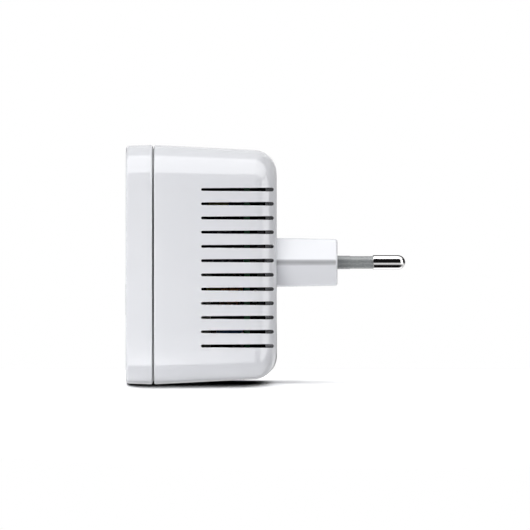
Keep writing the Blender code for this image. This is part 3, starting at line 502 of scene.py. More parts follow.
def slot_half(x):
    """Half the slot's height at x, along its straight part."""
    share = (x - SLOT_FRONT_X) / (SLOT_BACK_X - SLOT_FRONT_X)
    return SLOT_FRONT_HALF + (SLOT_BACK_HALF - SLOT_FRONT_HALF) * share


def fillet_columns():
    """Places along X through the back fillet, closer together where it turns away."""
    places = []
    for degrees in range(6, 90, 6):
        places.append(BACK_X - BACK_FILLET * (1 - math.sin(math.radians(degrees))))
    return places


def slot_columns():
    """Places along X where the slot's straight edges have points."""
    front = SLOT_FRONT_X + SLOT_FRONT_HALF
    back = SLOT_BACK_X - SLOT_BACK_HALF
    places = [front]
    steps = 9
    fillet_start = BACK_X - BACK_FILLET
    for step in range(1, steps + 1):
        places.append(front + (fillet_start - front) * step / steps)
    spare = 0.15 * MM
    places += [x for x in fillet_columns() if x < back - spare]
    return sorted(places + [INNER_BACK_X, back])


def slot_edge(outset):
    """The upper half of a slot's outline as (x, half height, out x, out z), from front to back."""
    columns = slot_columns()

    def tip(x, toward):
        reach = slot_half(x) + outset
        points = []
        for angle in quarter_turn(SLOT_TIP_STEPS)[:-1]:
            out_x, out_z = toward * math.cos(angle), math.sin(angle)
            points.append((x + reach * out_x, reach * out_z, out_x, out_z))
        return points

    middle = [(x, slot_half(x) + outset, 0.0, 1.0) for x in columns]
    return tip(columns[0], -1) + middle + tip(columns[-1], 1)[::-1]


def slot_levels():
    return [SLOT_MID + (index - (SLOT_COUNT - 1) / 2) * SLOT_PITCH for index in range(SLOT_COUNT)]


def side_levels(half):
    """Heights of the side's rows where every slot is open by half above and below its middle."""
    levels = []
    for level in slot_levels():
        levels += [level - half, level + half]
    return levels


def levels_along(edge):
    """The side's rows at each station, opened as far as the slots' edge is open there."""
    halves = {round(x / TINY): half for x, half, _, _ in edge}

    def levels(station):
        return side_levels(halves.get(round(station[0] / TINY), 0.0))

    return levels


def slot_walls(skin, side, level):
    """One slot: a rounded mouth on the outer skin, walls through the side, and a floor in the back wall."""
    steps = 3
    rings = []
    for angle in quarter_turn(steps):
        edge = slot_edge(SLOT_MOUTH * (1 - math.sin(angle)))
        down = SLOT_MOUTH * (1 - math.cos(angle))
        rings.append(slot_ring(edge, side, level, down, angle))
    skin.loft(rings)
    edge = slot_edge(0.0)
    last = rings[-1]
    through = wall_ring(edge, side, level, inner_y)
    stopped = wall_ring(edge, side, level, lambda x, z: SLOT_FLOOR_Y)
    for i in range(len(last)):
        j = (i + 1) % len(last)
        is_open = all(last[k][0].x <= INNER_BACK_X + TINY for k in (i, j))
        far = through if is_open else stopped
        skin.face([last[i], last[j], far[j], far[i]])
    slot_floor(skin, edge, side, level)


def slot_floor(skin, edge, side, level):
    """The floor of one slot, where it runs into the back wall."""
    outward = Vector((0, side, 0))
    for (x, half, _, _), (next_x, next_half, _, _) in zip(edge, edge[1:]):
        if x < INNER_BACK_X - TINY:
            continue
        ring = []
        for place, z in ((x, half), (next_x, next_half), (next_x, -next_half), (x, -half)):
            ring.append((Vector((place, side * SLOT_FLOOR_Y, MID_Z + level + z)), outward))
        skin.face(ring)


def both_edges(edge):
    """The whole outline from its upper half: back along the lower side, without repeating the tips."""
    lower = [(x, -half, out_x, -out_z) for x, half, out_x, out_z in reversed(edge[1:-1])]
    return edge + lower


def slot_ring(edge, side, level, down, angle):
    """A ring of a slot's mouth on the curved skin, at a depth and a turn from the skin into the slot."""
    ring = []
    for x, z, out_x, out_z in both_edges(edge):
        station = fillet_station(x)
        row = side_row(section_radius(x, station[1]), level + z)
        point, face_normal = corner_of(station, row, side, 1)
        inward = Vector((-out_x, 0, -out_z))
        point.y -= side * down
        ring.append((point, face_normal * math.cos(angle) + inward * math.sin(angle)))
    return ring


def wall_ring(edge, side, level, depth_y):
    """The end of a slot's walls, at a distance from the middle that depth_y(x, level) gives."""
    ring = []
    for x, z, out_x, out_z in both_edges(edge):
        point = Vector((x, side * depth_y(x, level + z), MID_Z + level + z))
        ring.append((point, Vector((-out_x, 0, -out_z))))
    return ring


def inner_y(x, level):
    return side_row(section_radius(x, WALL), level)[0]


# -------------------- rear housing


def plug_outline(scale=1.0, steps=4):
    """The plug's six-sided section with rounded edges, as an outline in (y, z)."""
    points = [
        Vector((PLUG_WIDTH / 2, 0)),
        Vector((PLUG_FLAT / 2, PLUG_HEIGHT / 2)),
        Vector((-PLUG_FLAT / 2, PLUG_HEIGHT / 2)),
        Vector((-PLUG_WIDTH / 2, 0)),
        Vector((-PLUG_FLAT / 2, -PLUG_HEIGHT / 2)),
        Vector((PLUG_FLAT / 2, -PLUG_HEIGHT / 2)),
    ]

    def outline(outset):
        ring = []
        for i, corner in enumerate(points):
            to_last = (points[i - 1] - corner).normalized()
            to_next = (points[(i + 1) % 6] - corner).normalized()
            half_angle = to_last.angle(to_next) / 2
            centre = corner + (to_last + to_next).normalized() * PLUG_EDGE_RADIUS / math.sin(half_angle)
            outward = (corner - centre).normalized()
            sweep_angle = math.pi / 2 - half_angle
            for step in range(-steps, steps + 1):
                out = Matrix.Rotation(sweep_angle * step / steps, 2) @ outward
                point = centre * scale + out * (PLUG_EDGE_RADIUS * scale + outset)
                ring.append((point.x, point.y, out.x, out.y))
        return ring

    return outline


def housing_columns():
    """Every place along X where the housing's outer skin has a section."""
    rounded = [x for x, _, _, _ in slot_edge(SLOT_MOUTH)]
    spare = 0.02 * MM
    beyond = [x for x in fillet_columns() if x > max(rounded) + spare]
    return sorted(FIRST_COLUMNS + rounded + beyond) + [BACK_X]


def rear_housing(white, dark, seam):
    skin = Skin()
    levels = levels_along(slot_edge(SLOT_MOUTH))
    rim = rim_stations(RIM_X, -1)
    fillet_start = BACK_X - BACK_FILLET + TINY
    columns = housing_columns()
    before = [fillet_station(x) for x in columns if x <= fillet_start]
    after = [fillet_station(x) for x in columns if x > fillet_start]
    sweep(skin, rim, levels, ARC_MARGIN, SLOT_ROWS)
    sweep(skin, rim[-1:] + before, levels, ARC_MARGIN, SLOT_ROWS, open_bottom=True)
    sweep(skin, before[-1:] + after, levels, ARC_MARGIN, SLOT_ROWS)
    underside(skin, rim[-1], before[-1])
    for side in (-1, 1):
        for level in slot_levels():
            slot_walls(skin, side, level)
    back_face(skin)
    inside_of_housing(skin)
    return skin.build("rear_housing_shell", [white, dark, seam])


def under_place(inset):
    """Places points on the underside: flat in the middle, then on the start of the corner."""

    def place(a, b, down):
        radius = section_radius(a, inset)
        over = max(abs(b) - FLAT_Y, 0.0)
        return Vector((a, b, MID_Z - FLAT_Z - math.sqrt(radius**2 - over**2) + down))

    return place


def under_edge(station, facing):
    """One end of the underside's strip. On the far side it takes in the start of the corner."""
    rows = arc_rows(section_radius(station[0], station[1]), False, ARC_MARGIN)[: UNDER_ROWS + 1]
    return [corner_of(station, rows[0], -1, facing)] + [corner_of(station, row, 1, facing) for row in rows]


def under_strip(skin, start, end, holes, facing, surface=OUTSIDE):
    """The strip between two stations, round the network port and the reset hole."""
    rings = [under_edge(start, facing) + list(reversed(under_edge(end, facing)))]
    for hole in holes:
        ring = []
        for point in hole:
            over = max(point.y - FLAT_Y, 0.0)
            lean = math.asin(over / section_radius(point.x, start[1]))
            ring.append((point, Vector((REAR_DRAFT, math.sin(lean), -math.cos(lean))) * facing))
        rings.append(ring)
    skin.patch(rings, surface)


def under_holes():
    """The outlines of the network port and the reset hole, each with the rounding of its mouth."""
    port = rectangle_outline((JACK_MID_X, 0), PORT_HALF, PORT_ROUND)
    reset = circle_outline((RESET_X, RESET_Y), RESET_RADIUS, 32)
    return (port, 0.3 * MM), (reset, 0.15 * MM)


def underside(skin, start, end):
    """The strip under the housing, with the network port and the reset hole."""
    edges = []
    for outline, mouth in under_holes():
        edge, _ = opening(skin, outline, under_place(0.0), mouth, WALL)
        edges.append(edge)
    under_strip(skin, start, end, edges, 1)


def back_face(skin):
    """The flat back, with the plug's hole and the label's shallow recess."""
    play, recess_depth = 0.15 * MM, 0.3 * MM
    place = on_face(BACK_X, 1)

    def plug_mouth(outset):
        return plug_outline()(outset + PLUG_PLAY)

    recess = rectangle_outline((0.0, LABEL_Z), (LABEL_HALF[0] + play, LABEL_HALF[1] + play), 0.6 * MM)
    plug_edge, _ = opening(skin, plug_mouth, place, 0.2 * MM, BACK_X - INNER_BACK_X)
    recess_edge, floor_edge = opening(skin, recess, place, 0.1 * MM, recess_depth)
    outline = section_outline(fillet_station(BACK_X), side_levels(0.0), ARC_MARGIN)
    outward = Vector((1, 0, 0))
    skin.flat([outline, plug_edge, recess_edge], outward)
    skin.flat([floor_edge], outward)


def inside_of_housing(skin):
    """The lip, the inner skin with the slots' inner edges, dark with painted shade, and the inside of the
    back wall.
    """
    lip_end = SEAM_X + TONGUE_REACH + 0.3 * MM
    sweep(skin, flat_ring(RIM_X, RIM_ROUND, LIP, -1.0), plain_levels, surface=SEAM)
    sweep(skin, [drafted(RIM_X, LIP), drafted(lip_end, LIP)], plain_levels, facing=-1, surface=INSIDE)
    sweep(skin, flat_ring(lip_end, LIP, WALL, -1.0), plain_levels, surface=INSIDE)
    edge = slot_edge(0.0)
    levels = levels_along(edge)
    places = [lip_end, FIRST_COLUMNS[-1]] + [x for x, _, _, _ in edge if x <= INNER_BACK_X + TINY]
    stations = [drafted(x, WALL) for x in places]
    sweep(skin, stations, levels, ARC_MARGIN, SLOT_ROWS, facing=-1, surface=INSIDE, open_bottom=True)
    holes = [[under_place(WALL)(a, b, 0) for a, b, _, _ in outline(0)] for outline, _ in under_holes()]
    back = drafted(INNER_BACK_X, WALL)
    under_strip(skin, stations[0], back, holes, -1, INSIDE)
    notched = notched_outline(back, levels(back))
    plug_hole = points_of(ring_at(INNER_BACK_X, plug_outline()(PLUG_PLAY)))
    skin.flat([notched, plug_hole], Vector((-1, 0, 0)), INSIDE)


def notched_outline(station, levels):
    """The inner edge of the back wall, stepping in to the slots' floors."""
    rows = section(station, levels, ARC_MARGIN)
    first_slot = ARC_STEPS + 1
    slots = range(first_slot, first_slot + 2 * SLOT_COUNT)
    halves = {}
    for side in (-1, 1):
        points = []
        for i, row in enumerate(rows):
            point = corner_of(station, row, side, 1)[0]
            floor = Vector((point.x, side * SLOT_FLOOR_Y, point.z))
            is_lower = (i - first_slot) % 2 == 0
            if i not in slots:
                points.append(point)
            else:
                points += [point, floor] if is_lower else [floor, point]
        halves[side] = points
    return without_repeats(halves[-1] + halves[1][::-1])


# -------------------- front cover


def front_rounding():
    """The stations of the cover's rounded front edge."""
    steps = 6
    stations = []
    for angle in quarter_turn(steps):
        out = math.cos(angle)
        along = -math.sin(angle) - COVER_DRAFT * out
        length = math.hypot(out, along)
        x = FRONT_X + FRONT_FILLET * (1 - math.sin(angle))
        stations.append((x, FRONT_FILLET * (1 - math.cos(angle)), along / length, out / length))
    return stations


def front_cover(white, dark, seam):
    """The outer shell with its front face, and the tongue that slides inside the housing's lip."""
    skin = Skin()
    rim_x = SEAM_X - SEAM_GAP / 2
    tongue_end = SEAM_X + TONGUE_REACH
    rounded = front_rounding()
    body = [drafted(rim_x - RIM_ROUND), drafted(FRONT_X + FRONT_FILLET)]
    sweep(skin, rim_stations(rim_x, 1) + body + rounded, plain_levels)
    front_face(skin, rounded[-1])
    sweep(skin, flat_ring(rim_x, RIM_ROUND, TONGUE_OUTSET, 1.0), plain_levels, surface=SEAM)
    tongue = [drafted(x, TONGUE_OUTSET) for x in (rim_x, SEAM_X, tongue_end)]
    sweep(skin, tongue, plain_levels, surface=SEAM)
    sweep(skin, flat_ring(tongue_end, TONGUE_OUTSET, TONGUE_INSET, 1.0), plain_levels, surface=INSIDE)
    inner = [drafted(x, TONGUE_INSET) for x in (tongue_end, SEAM_X, INNER_FRONT_X)]
    sweep(skin, inner, plain_levels, facing=-1, surface=INSIDE)
    snap_arms(skin)
    return skin.build("front_cover_shell", [white, dark, seam])


def light_positions():
    end_margin = 2.0 * MM
    spacing = (GUIDE_HIGH.y - GUIDE_LOW.y) / 2 - end_margin
    return [index * spacing for index in (-1, 0, 1)]


def front_face(skin, station):
    """The flat front and its inside, with the holes for the button and the lights."""
    mouths = [(circle_outline((0, BUTTON_Z), BUTTON_HOLE_RADIUS, 72), 0.25 * MM)]
    for y in light_positions():
        mouths.append((circle_outline((y, LIGHT_Z), LIGHT_HOLE_RADIUS, 32), 0.12 * MM))
    depth = INNER_FRONT_X - FRONT_X
    rims = [opening(skin, outline, on_face(FRONT_X, -1), mouth, depth) for outline, mouth in mouths]
    inner = drafted(INNER_FRONT_X, TONGUE_INSET)
    outlines = [section_outline(ring, plain_levels(ring)) for ring in (station, inner)]
    skin.flat([outlines[0]] + [near for near, _ in rims], Vector((-1, 0, 0)))
    skin.flat([outlines[1]] + [far for _, far in rims], Vector((1, 0, 0)), INSIDE)


def snap_arms(skin):
    """Four arms with a hooked end that reach into the housing."""
    outer = HALF_WIDTH - WALL - 0.3 * MM
    thickness, half_height, spacing = 1.2 * MM, 3 * MM, 12 * MM
    end = SEAM_X + 6 * MM
    hook_step, hook_slope = 0.7 * MM, 0.8 * MM
    profile = [
        (INNER_FRONT_X, outer - thickness),
        (INNER_FRONT_X, outer),
        (end, outer),
        (end, outer - hook_step),
        (end - hook_slope, outer - thickness),
    ]
    for side in (-1, 1):
        for level in (-spacing, spacing):
            low = [Vector((x, side * y, MID_Z + level - half_height)) for x, y in profile]
            high = [point + Vector((0, 0, 2 * half_height)) for point in low]
            middle = sum(low + high, Vector()) / (2 * len(profile))
            for i in range(len(profile)):
                j = (i + 1) % len(profile)
                ring = [low[i], low[j], high[j], high[i]]
                normal = (low[j] - low[i]).cross(high[i] - low[i])
                if normal.dot(sum(ring, Vector()) / 4 - middle) < 0:
                    normal.negate()
                skin.face([(point, normal) for point in ring], INSIDE)
            for ring, z in ((low, -1), (high, 1)):
                skin.flat([ring], Vector((0, 0, z)), INSIDE)


# -------------------- plug and pins


def pin_line(side):
    """Where a pin leaves the plug, and its direction. The two pins lean towards each other."""
    base = Vector((0, side * PIN_SPACING / 2, 0))
    tip = Vector((PIN_LENGTH, side * PIN_TIP_SPACING / 2, 0))
    return base, (tip - base).normalized()


def plug_stations():
    """Places along the plug's body as (x, scale, outset, turn from outward to the end face)."""
    end_round = 0.7 * MM
    straight_steps, round_steps = 5, 6
    stations = [(INNER_BACK_X, 1.0, 0.0, 0.0)]
    for step in range(straight_steps + 1):
        share = step / straight_steps
        x = BACK_X + (-end_round - BACK_X) * share
        stations.append((x, 1.0 + (PLUG_TAPER - 1.0) * share, 0.0, 0.0))
    for angle in quarter_turn(round_steps)[1:]:
        x = -end_round * (1 - math.sin(angle))
        stations.append((x, PLUG_TAPER, -end_round * (1 - math.cos(angle)), angle))
    return stations


def plug_insert(white, dark):
    """The tapering body with a rounded end and two pin holes, and the flange behind the back wall."""
    skin = Skin()
    rings = []
    for x, scale, outset, angle in plug_stations():
        rings.append(ring_at(x, plug_outline(scale)(outset), math.sin(angle), math.cos(angle)))
    skin.loft(rings)
    edges = []
    for side in (-1, 1):
        hole = circle_outline((side * PIN_SPACING / 2, 0), COLLAR_RADIUS + 0.12 * MM, 48)
        edge, floor = opening(skin, hole, on_face(0.0, 1), 0.12 * MM, 1.6 * MM)
        edges.append(edge)
        skin.flat([floor], Vector((1, 0, 0)))
    skin.flat([points_of(rings[-1])] + edges, Vector((1, 0, 0)))
    flange = rectangle_outline((0, 0), (19.5 * MM, 12.5 * MM), 3 * MM)(0)
    bar(skin, flange, INNER_BACK_X - 2.3 * MM, INNER_BACK_X - 0.3 * MM, INSIDE)
    return skin.build("plug_insert_shell", [white, dark])


def pin(name, side, metal):
    """The bare tip with its hemispherical end, and the core and tail under the sleeve."""
    skin = Skin()
    edge = 0.12 * MM
    core, tail = 1.3 * MM, 0.9 * MM
    shoulder, tail_start = -22.5 * MM, -27.2 * MM
    dome_start = PIN_LENGTH - PIN_RADIUS
    nearly_top = 89.99
    corner = (PIN_RADIUS - edge, SLEEVE_LENGTH)
    profile = path((tail, tail_start), (tail, shoulder), (core, shoulder), (core, SLEEVE_LENGTH), corner)
    profile.append(arc_run((PIN_RADIUS - edge, SLEEVE_LENGTH + edge), edge, -90, 0, 4))
    profile.append(straight((PIN_RADIUS, SLEEVE_LENGTH + edge), (PIN_RADIUS, dome_start)))
    profile.append(arc_run((0.0, dome_start), PIN_RADIUS, 0, nearly_top, 16))
    turned(skin, profile, *pin_line(side))
    return skin.build(name, [metal])


def sleeve(name, side, grey):
    """The thin insulating tube, with a thicker collar where it leaves the plug."""
    skin = Skin()
    bore = 1.38 * MM
    start, end = -1.4 * MM, SLEEVE_LENGTH - 0.05 * MM
    small = 0.08 * MM
    collar_edge = (COLLAR_RADIUS - small, COLLAR_LENGTH - small)
    sleeve_edge = (SLEEVE_RADIUS - small, end - small)
    profile = path((bore, start), (COLLAR_RADIUS, start), (COLLAR_RADIUS, collar_edge[1]))
    profile.append(arc_run(collar_edge, small, 0, 90, 4))
    step = (SLEEVE_RADIUS, COLLAR_LENGTH)
    profile += path((collar_edge[0], COLLAR_LENGTH), step, (SLEEVE_RADIUS, sleeve_edge[1]))
    profile.append(arc_run(sleeve_edge, small, 0, 90, 4))
    profile += path((sleeve_edge[0], end), (bore, end))
    turned(skin, profile, *pin_line(side))
    return skin.build(name, [grey])


# -------------------- button, lenses, label


def dish(face):
    """The button's hollow face, from its middle outward."""
    steps = 12
    run = []
    for i in range(steps + 1):
        turn = math.pi * i / steps
        out = AXIS_GAP + (DISH_RADIUS - AXIS_GAP) * i / steps
        slope = -DISH_DEPTH * math.pi * math.sin(turn) / 2 / DISH_RADIUS
        run.append((out, face + DISH_DEPTH * (1 + math.cos(turn)) / 2, slope, -1.0))
    return run


def pairing_button(white):
    """A shallow dished cap with a rounded edge, its flange behind the cover and its stem."""
    skin = Skin()
    face, stem_end = BUTTON_LOW.x, BUTTON_HIGH.x
    radius, edge = 4.72 * MM, 0.55 * MM
    flange, stem = 6.0 * MM, 1.6 * MM
    flange_x = INNER_FRONT_X + 0.15 * MM
    flange_end = flange_x + 0.7 * MM
    profile = [dish(face), straight((DISH_RADIUS, face), (radius - edge, face))]
    profile.append(arc_run((radius - edge, face + edge), edge, -90, 0, 8))
    profile += path((radius, face + edge), (radius, flange_x), (flange, flange_x), (flange, flange_end))
    profile += path((flange, flange_end), (stem, flange_end), (stem, stem_end), (AXIS_GAP, stem_end))
    turned(skin, profile, (0, 0, BUTTON_Z), (1, 0, 0), 72)
    return skin.build("pairing_button_cap", [white])


def light_guide(clear):
    """Three domed lenses on their rods, joined by a bar behind the cover."""
    skin = Skin()
    face, end = GUIDE_LOW.x, GUIDE_HIGH.x
    radius, dome = 1.0 * MM, 0.25 * MM
    centre_gap = 0.02 * MM
    steps = 8
    cap = []
    for angle in quarter_turn(steps):
        out, along = math.sin(angle), -math.cos(angle)
        cap.append((max(radius * out, centre_gap), face + dome * (1 + along), out, along * radius / dome))
    rod = path((radius, face + dome), (radius, end), (centre_gap, end))
    for y in light_positions():
        turned(skin, [cap] + rod, (0, y, LIGHT_Z), (1, 0, 0), 32)
    half = ((GUIDE_HIGH.y - GUIDE_LOW.y) / 2, 1.6 * MM)
    thickness = 1.2 * MM
    bar_x = INNER_FRONT_X + 0.3 * MM
    bar(skin, rectangle_outline((0, LIGHT_Z), half, 1.2 * MM)(0), bar_x, bar_x + thickness)
    return skin.build("light_guide_lenses", [clear])


def rating_label(film):
    """A thin blank film with rounded corners and a fine edge."""
    skin = Skin()
    outline = rectangle_outline((0.0, LABEL_Z), LABEL_HALF, 0.7 * MM)
    edge = 0.05 * MM
    rings = [
        ring_at(LABEL_LOW.x, outline(0.0)),
        ring_at(LABEL_HIGH.x - edge, outline(0.0)),
        ring_at(LABEL_HIGH.x, outline(-edge), 1.0, 0.3),
    ]
    skin.loft(rings)
    skin.flat([points_of(rings[-1])], Vector((1, 0, 0)))
    return skin.build("rating_label_film", [film])


# -------------------- materials

NOISE_RANGE = (0.3, 0.7)
WHITE = (0.83, 0.84, 0.875)
WHITE_SHADE = (0.815, 0.825, 0.865)
# Painted shade in the slots of the white pieces: how far it looks for the piece's own surfaces, the open
# shares it ramps between, and its darkest level.
SLOT_REACH = 5.0 * MM
SLOT_OPENNESS = (0.08, 0.5)
SLOT_PAINTED_SHADE = 0.03
# Painted shade along the plug's widest edges: the sideways lean over which it comes in, and its darkest
# level.
RIDGE_SHADE_TURN = (0.86, 1.0)
PLUG_RIDGE_SHADE = 0.52
# Painted shade in the seam's groove: its level on the sides and round the corners.
SEAM_SHADE = 0.012
SEAM_CORNER_SHADE = 0.4
BLACK = (0.012, 0.012, 0.013)
CHARCOAL = (0.02, 0.02, 0.021)
DARK_GREY = (0.03, 0.03, 0.03)


class Tree:
    """A node tree, with short ways to add and join nodes."""

    def __init__(self, owner):
        owner.use_nodes = True
        self.tree = owner.node_tree

    def add(self, kind, **values):
        node = self.tree.nodes.new(kind)
        for key, value in values.items():
            setattr(node, key, value)
        return node

    def link(self, output, socket):
        self.tree.links.new(output, socket)

    def put(self, value, socket):
        """Sets a socket to a number, or links an output to it."""
        if isinstance(value, (int, float)):
            socket.default_value = value
        else:
            self.link(value, socket)

    def feed(self, node, *values):
        """Puts values on a node's first inputs."""
        for socket, value in zip(node.inputs, values):
            self.put(value, socket)
        return node

    def math(self, operation, first, second):
        return self.feed(self.add("ShaderNodeMath", operation=operation), first, second).outputs[0]

    def ramp(self, value, low, high, first, last, shape="LINEAR"):
        """A ramp from one level to another as a value goes from low to high."""
        node = self.add("ShaderNodeMapRange", interpolation_type=shape)
        return self.feed(node, value, low, high, first, last).outputs["Result"]

    def smooth(self, value, low, high, first, last):
        return self.ramp(value, low, high, first, last, "SMOOTHSTEP")

    def split(self, vector):
        return self.feed(self.add("ShaderNodeSeparateXYZ"), vector).outputs


class Graph(Tree):
    """A material's node tree."""

    def __init__(self, name):
        self.material = bpy.data.materials.new(name)
        super().__init__(self.material)
        self.shader = self.tree.nodes["Principled BSDF"]
        self.geometry = self.add("ShaderNodeNewGeometry").outputs
        self.place = self.geometry["Position"]

    def set(self, **values):
        for key, value in values.items():
            self.shader.inputs[key.replace("_", " ")].default_value = value

    def coat(self, colour, roughness):
        self.link(colour, self.shader.inputs["Base Color"])
        self.link(roughness, self.shader.inputs["Roughness"])

    def noise(self, scale, detail, vector=None):
        node = self.add("ShaderNodeTexNoise")
        node.inputs["Scale"].default_value = scale
        node.inputs["Detail"].default_value = detail
        self.link(self.place if vector is None else vector, node.inputs["Vector"])
        return node.outputs["Fac"]

    def spread(self, factor, low=0.0, high=1.0):
        """Maps a noise factor, which keeps mostly to its middle range, on to a range of values."""
        return self.ramp(factor, *NOISE_RANGE, low, high)

    def mix(self, factor, first, second):
        node = self.add("ShaderNodeMix", data_type="RGBA")
        self.link(factor, node.inputs[0])
        node.inputs[6].default_value = (*first, 1.0)
        node.inputs[7].default_value = (*second, 1.0)
        return node.outputs[2]

    def scaled(self, colour, factor):
        node = self.add("ShaderNodeVectorMath", operation="SCALE")
        self.link(colour, node.inputs[0])
        self.link(factor, node.inputs["Scale"])
        return node.outputs[0]

    def open_share(self, reach, own_piece, samples=6):
        """How much of the sky over a point is clear of other surfaces within reach."""
        node = self.add("ShaderNodeAmbientOcclusion", samples=samples, only_local=own_piece)
        node.inputs["Distance"].default_value = reach
        return node.outputs["AO"]

    def bump(self, height, strength, distance):
        node = self.add("ShaderNodeBump")
        node.inputs["Strength"].default_value = strength
        node.inputs["Distance"].default_value = distance
        self.link(height, node.inputs["Height"])
        self.link(node.outputs["Normal"], self.shader.inputs["Normal"])

    def glow(self, strength):
        node = self.add("ShaderNodeEmission")
        self.put(strength, node.inputs["Strength"])
        return node.outputs[0]

    def blend(self, share, first, second):
        """A mix of two shaders."""
        return self.feed(self.add("ShaderNodeMixShader"), share, first, second).outputs[0]

    def show(self, output):
        """Shows another shader in place of the Principled one."""
        self.link(output, self.tree.nodes["Material Output"].inputs["Surface"])
        self.tree.nodes.remove(self.shader)


def moulded(name, colour, other, roughness, grain=900.0, bump=0.04, specular=0.5):
    """Moulded plastic: faint cloudiness in its colour, a slightly uneven gloss and a fine surface."""
    graph = Graph(name)
    cloud = graph.noise(60.0, 2.0)
    fine = graph.noise(grain, 4.0)
    graph.coat(graph.mix(graph.spread(cloud), colour, other), graph.spread(fine, *roughness))
    graph.set(Specular_IOR_Level=specular)
    graph.bump(fine, bump, 0.02 * MM)
    return graph.material


def white_gloss(name="white_gloss_plastic", ridge_shade=1.0):
    """Glossy white plastic, with painted shade in its slots and other hollows of the same piece. Below 1.0,
    ridge paints shade on edges that face sideways.
    """
    graph = Graph(name)
    cloud = graph.noise(45.0, 2.0)
    fine = graph.noise(700.0, 3.0)
    tint = graph.mix(graph.spread(cloud), WHITE, WHITE_SHADE)
    # Painted shade: darker where the piece's own surfaces close round a point, as in the slots.
    shade = graph.ramp(graph.open_share(SLOT_REACH, True), *SLOT_OPENNESS, SLOT_PAINTED_SHADE, 1.0)
    # Painted shade on faces that turn sideways, for the dark line along the plug's ridge.
    if ridge_shade < 1.0:
        sideways = graph.math("ABSOLUTE", graph.split(graph.geometry["Normal"])["Y"], 0.0)
        shade = graph.math("MULTIPLY", shade, graph.ramp(sideways, *RIDGE_SHADE_TURN, 1.0, ridge_shade))
    graph.coat(graph.scaled(tint, shade), graph.spread(fine, 0.05, 0.08))
    graph.set(IOR=1.5)
    graph.bump(fine, 0.03, 0.01 * MM)
    return graph.material


def seam_shadow():
    """Painted shade at the bottom of the seam: dark on the sides, painted paler round the corners where
    light falls in.
    """
    graph = Graph("seam_shadow")
    z = graph.split(graph.place)["Z"]
    height = graph.math("ABSOLUTE", graph.math("SUBTRACT", z, MID_Z), 0.0)
    paler_from = 0.6 * FLAT_Z
    level = graph.ramp(height, paler_from, HALF_HEIGHT, SEAM_SHADE, SEAM_CORNER_SHADE)
    tint = graph.mix(graph.noise(60.0, 2.0), WHITE, WHITE_SHADE)
    graph.link(graph.scaled(tint, level), graph.shader.inputs["Base Color"])
    graph.set(Roughness=0.4)
    return graph.material


def brushed(name, colour, other, roughness, stretch, scale=900.0):
    """Metal with fine marks that run along one direction."""
    graph = Graph(name)
    squash = graph.add("ShaderNodeVectorMath", operation="MULTIPLY")
    graph.link(graph.place, squash.inputs[0])
    squash.inputs[1].default_value = stretch
    marks = graph.noise(scale, 4.0, squash.outputs["Vector"])
    graph.coat(graph.mix(graph.spread(marks), colour, other), graph.spread(marks, *roughness))
    graph.set(Metallic=1.0)
    graph.bump(marks, 0.05, 0.01 * MM)
    return graph.material


def board_green():
    """Solder mask over a weave, with a pattern of tracks."""
    graph = Graph("board_laminate")
    turn = graph.add("ShaderNodeMapping")
    turn.inputs["Rotation"].default_value = (0, math.pi / 2, 0)
    graph.link(graph.place, turn.inputs["Vector"])
    tracks = graph.add("ShaderNodeTexBrick")
    tracks.inputs["Scale"].default_value = 160.0
    tracks.inputs["Color1"].default_value = (0.015, 0.12, 0.05, 1)
    tracks.inputs["Color2"].default_value = (0.02, 0.15, 0.06, 1)
    tracks.inputs["Mortar"].default_value = (0.01, 0.07, 0.03, 1)
    graph.link(turn.outputs["Vector"], tracks.inputs["Vector"])
    graph.coat(tracks.outputs["Color"], graph.spread(graph.noise(1500.0, 2.0), 0.28, 0.4))
    graph.bump(tracks.outputs["Fac"], 0.2, 0.02 * MM)
    return graph.material


def clear_lens():
    """Clear plastic with a slight haze."""
    graph = Graph("clear_acrylic")
    haze = graph.noise(400.0, 2.0)
    tint = graph.mix(graph.spread(haze), (0.78, 0.82, 0.86), (0.86, 0.89, 0.92))
    graph.coat(tint, graph.spread(haze, 0.06, 0.16))
    graph.set(Transmission_Weight=0.55, IOR=1.49)
    return graph.material


def inner_plastics():
    """Plastics inside the casing: two colours, a range of roughness, and for some a grain and a bump."""
    return {
        "black_plastic": (BLACK, CHARCOAL, (0.35, 0.5)),
        "chip_package": (CHARCOAL, DARK_GREY, (0.5, 0.7), 2500, 0.2),
        "ferrite": ((0.03, 0.03, 0.029), (0.055, 0.053, 0.05), (0.5, 0.75), 1200, 0.3),
        "bobbin_plastic": (BLACK, DARK_GREY, (0.35, 0.5)),
        "winding_tape": ((0.72, 0.5, 0.06), (0.8, 0.6, 0.1), (0.25, 0.4), 500, 0.1),
        "toroid_core": ((0.02, 0.15, 0.1), (0.03, 0.2, 0.14), (0.35, 0.55)),
        "film_capacitor_yellow": ((0.62, 0.4, 0.04), (0.7, 0.47, 0.07), (0.25, 0.4)),
        "varistor_coating": ((0.02, 0.06, 0.25), (0.03, 0.08, 0.32), (0.25, 0.45)),
        "y_capacitor_coating": ((0.02, 0.1, 0.34), (0.03, 0.13, 0.4), (0.25, 0.45)),
        "fuse_cap": ((0.12, 0.035, 0.02), (0.16, 0.05, 0.03), (0.35, 0.5)),
        "capacitor_sleeve": ((0.012, 0.014, 0.022), (0.02, 0.023, 0.034), (0.2, 0.32)),
        "thermal_pad": ((0.3, 0.34, 0.38), (0.36, 0.4, 0.44), (0.75, 0.9), 1500, 0.4),
        "plunger_plastic": ((0.04, 0.04, 0.042), (0.06, 0.06, 0.063), (0.35, 0.5)),
        "lamp_resin": ((0.72, 0.66, 0.36), (0.8, 0.74, 0.46), (0.2, 0.35)),
    }


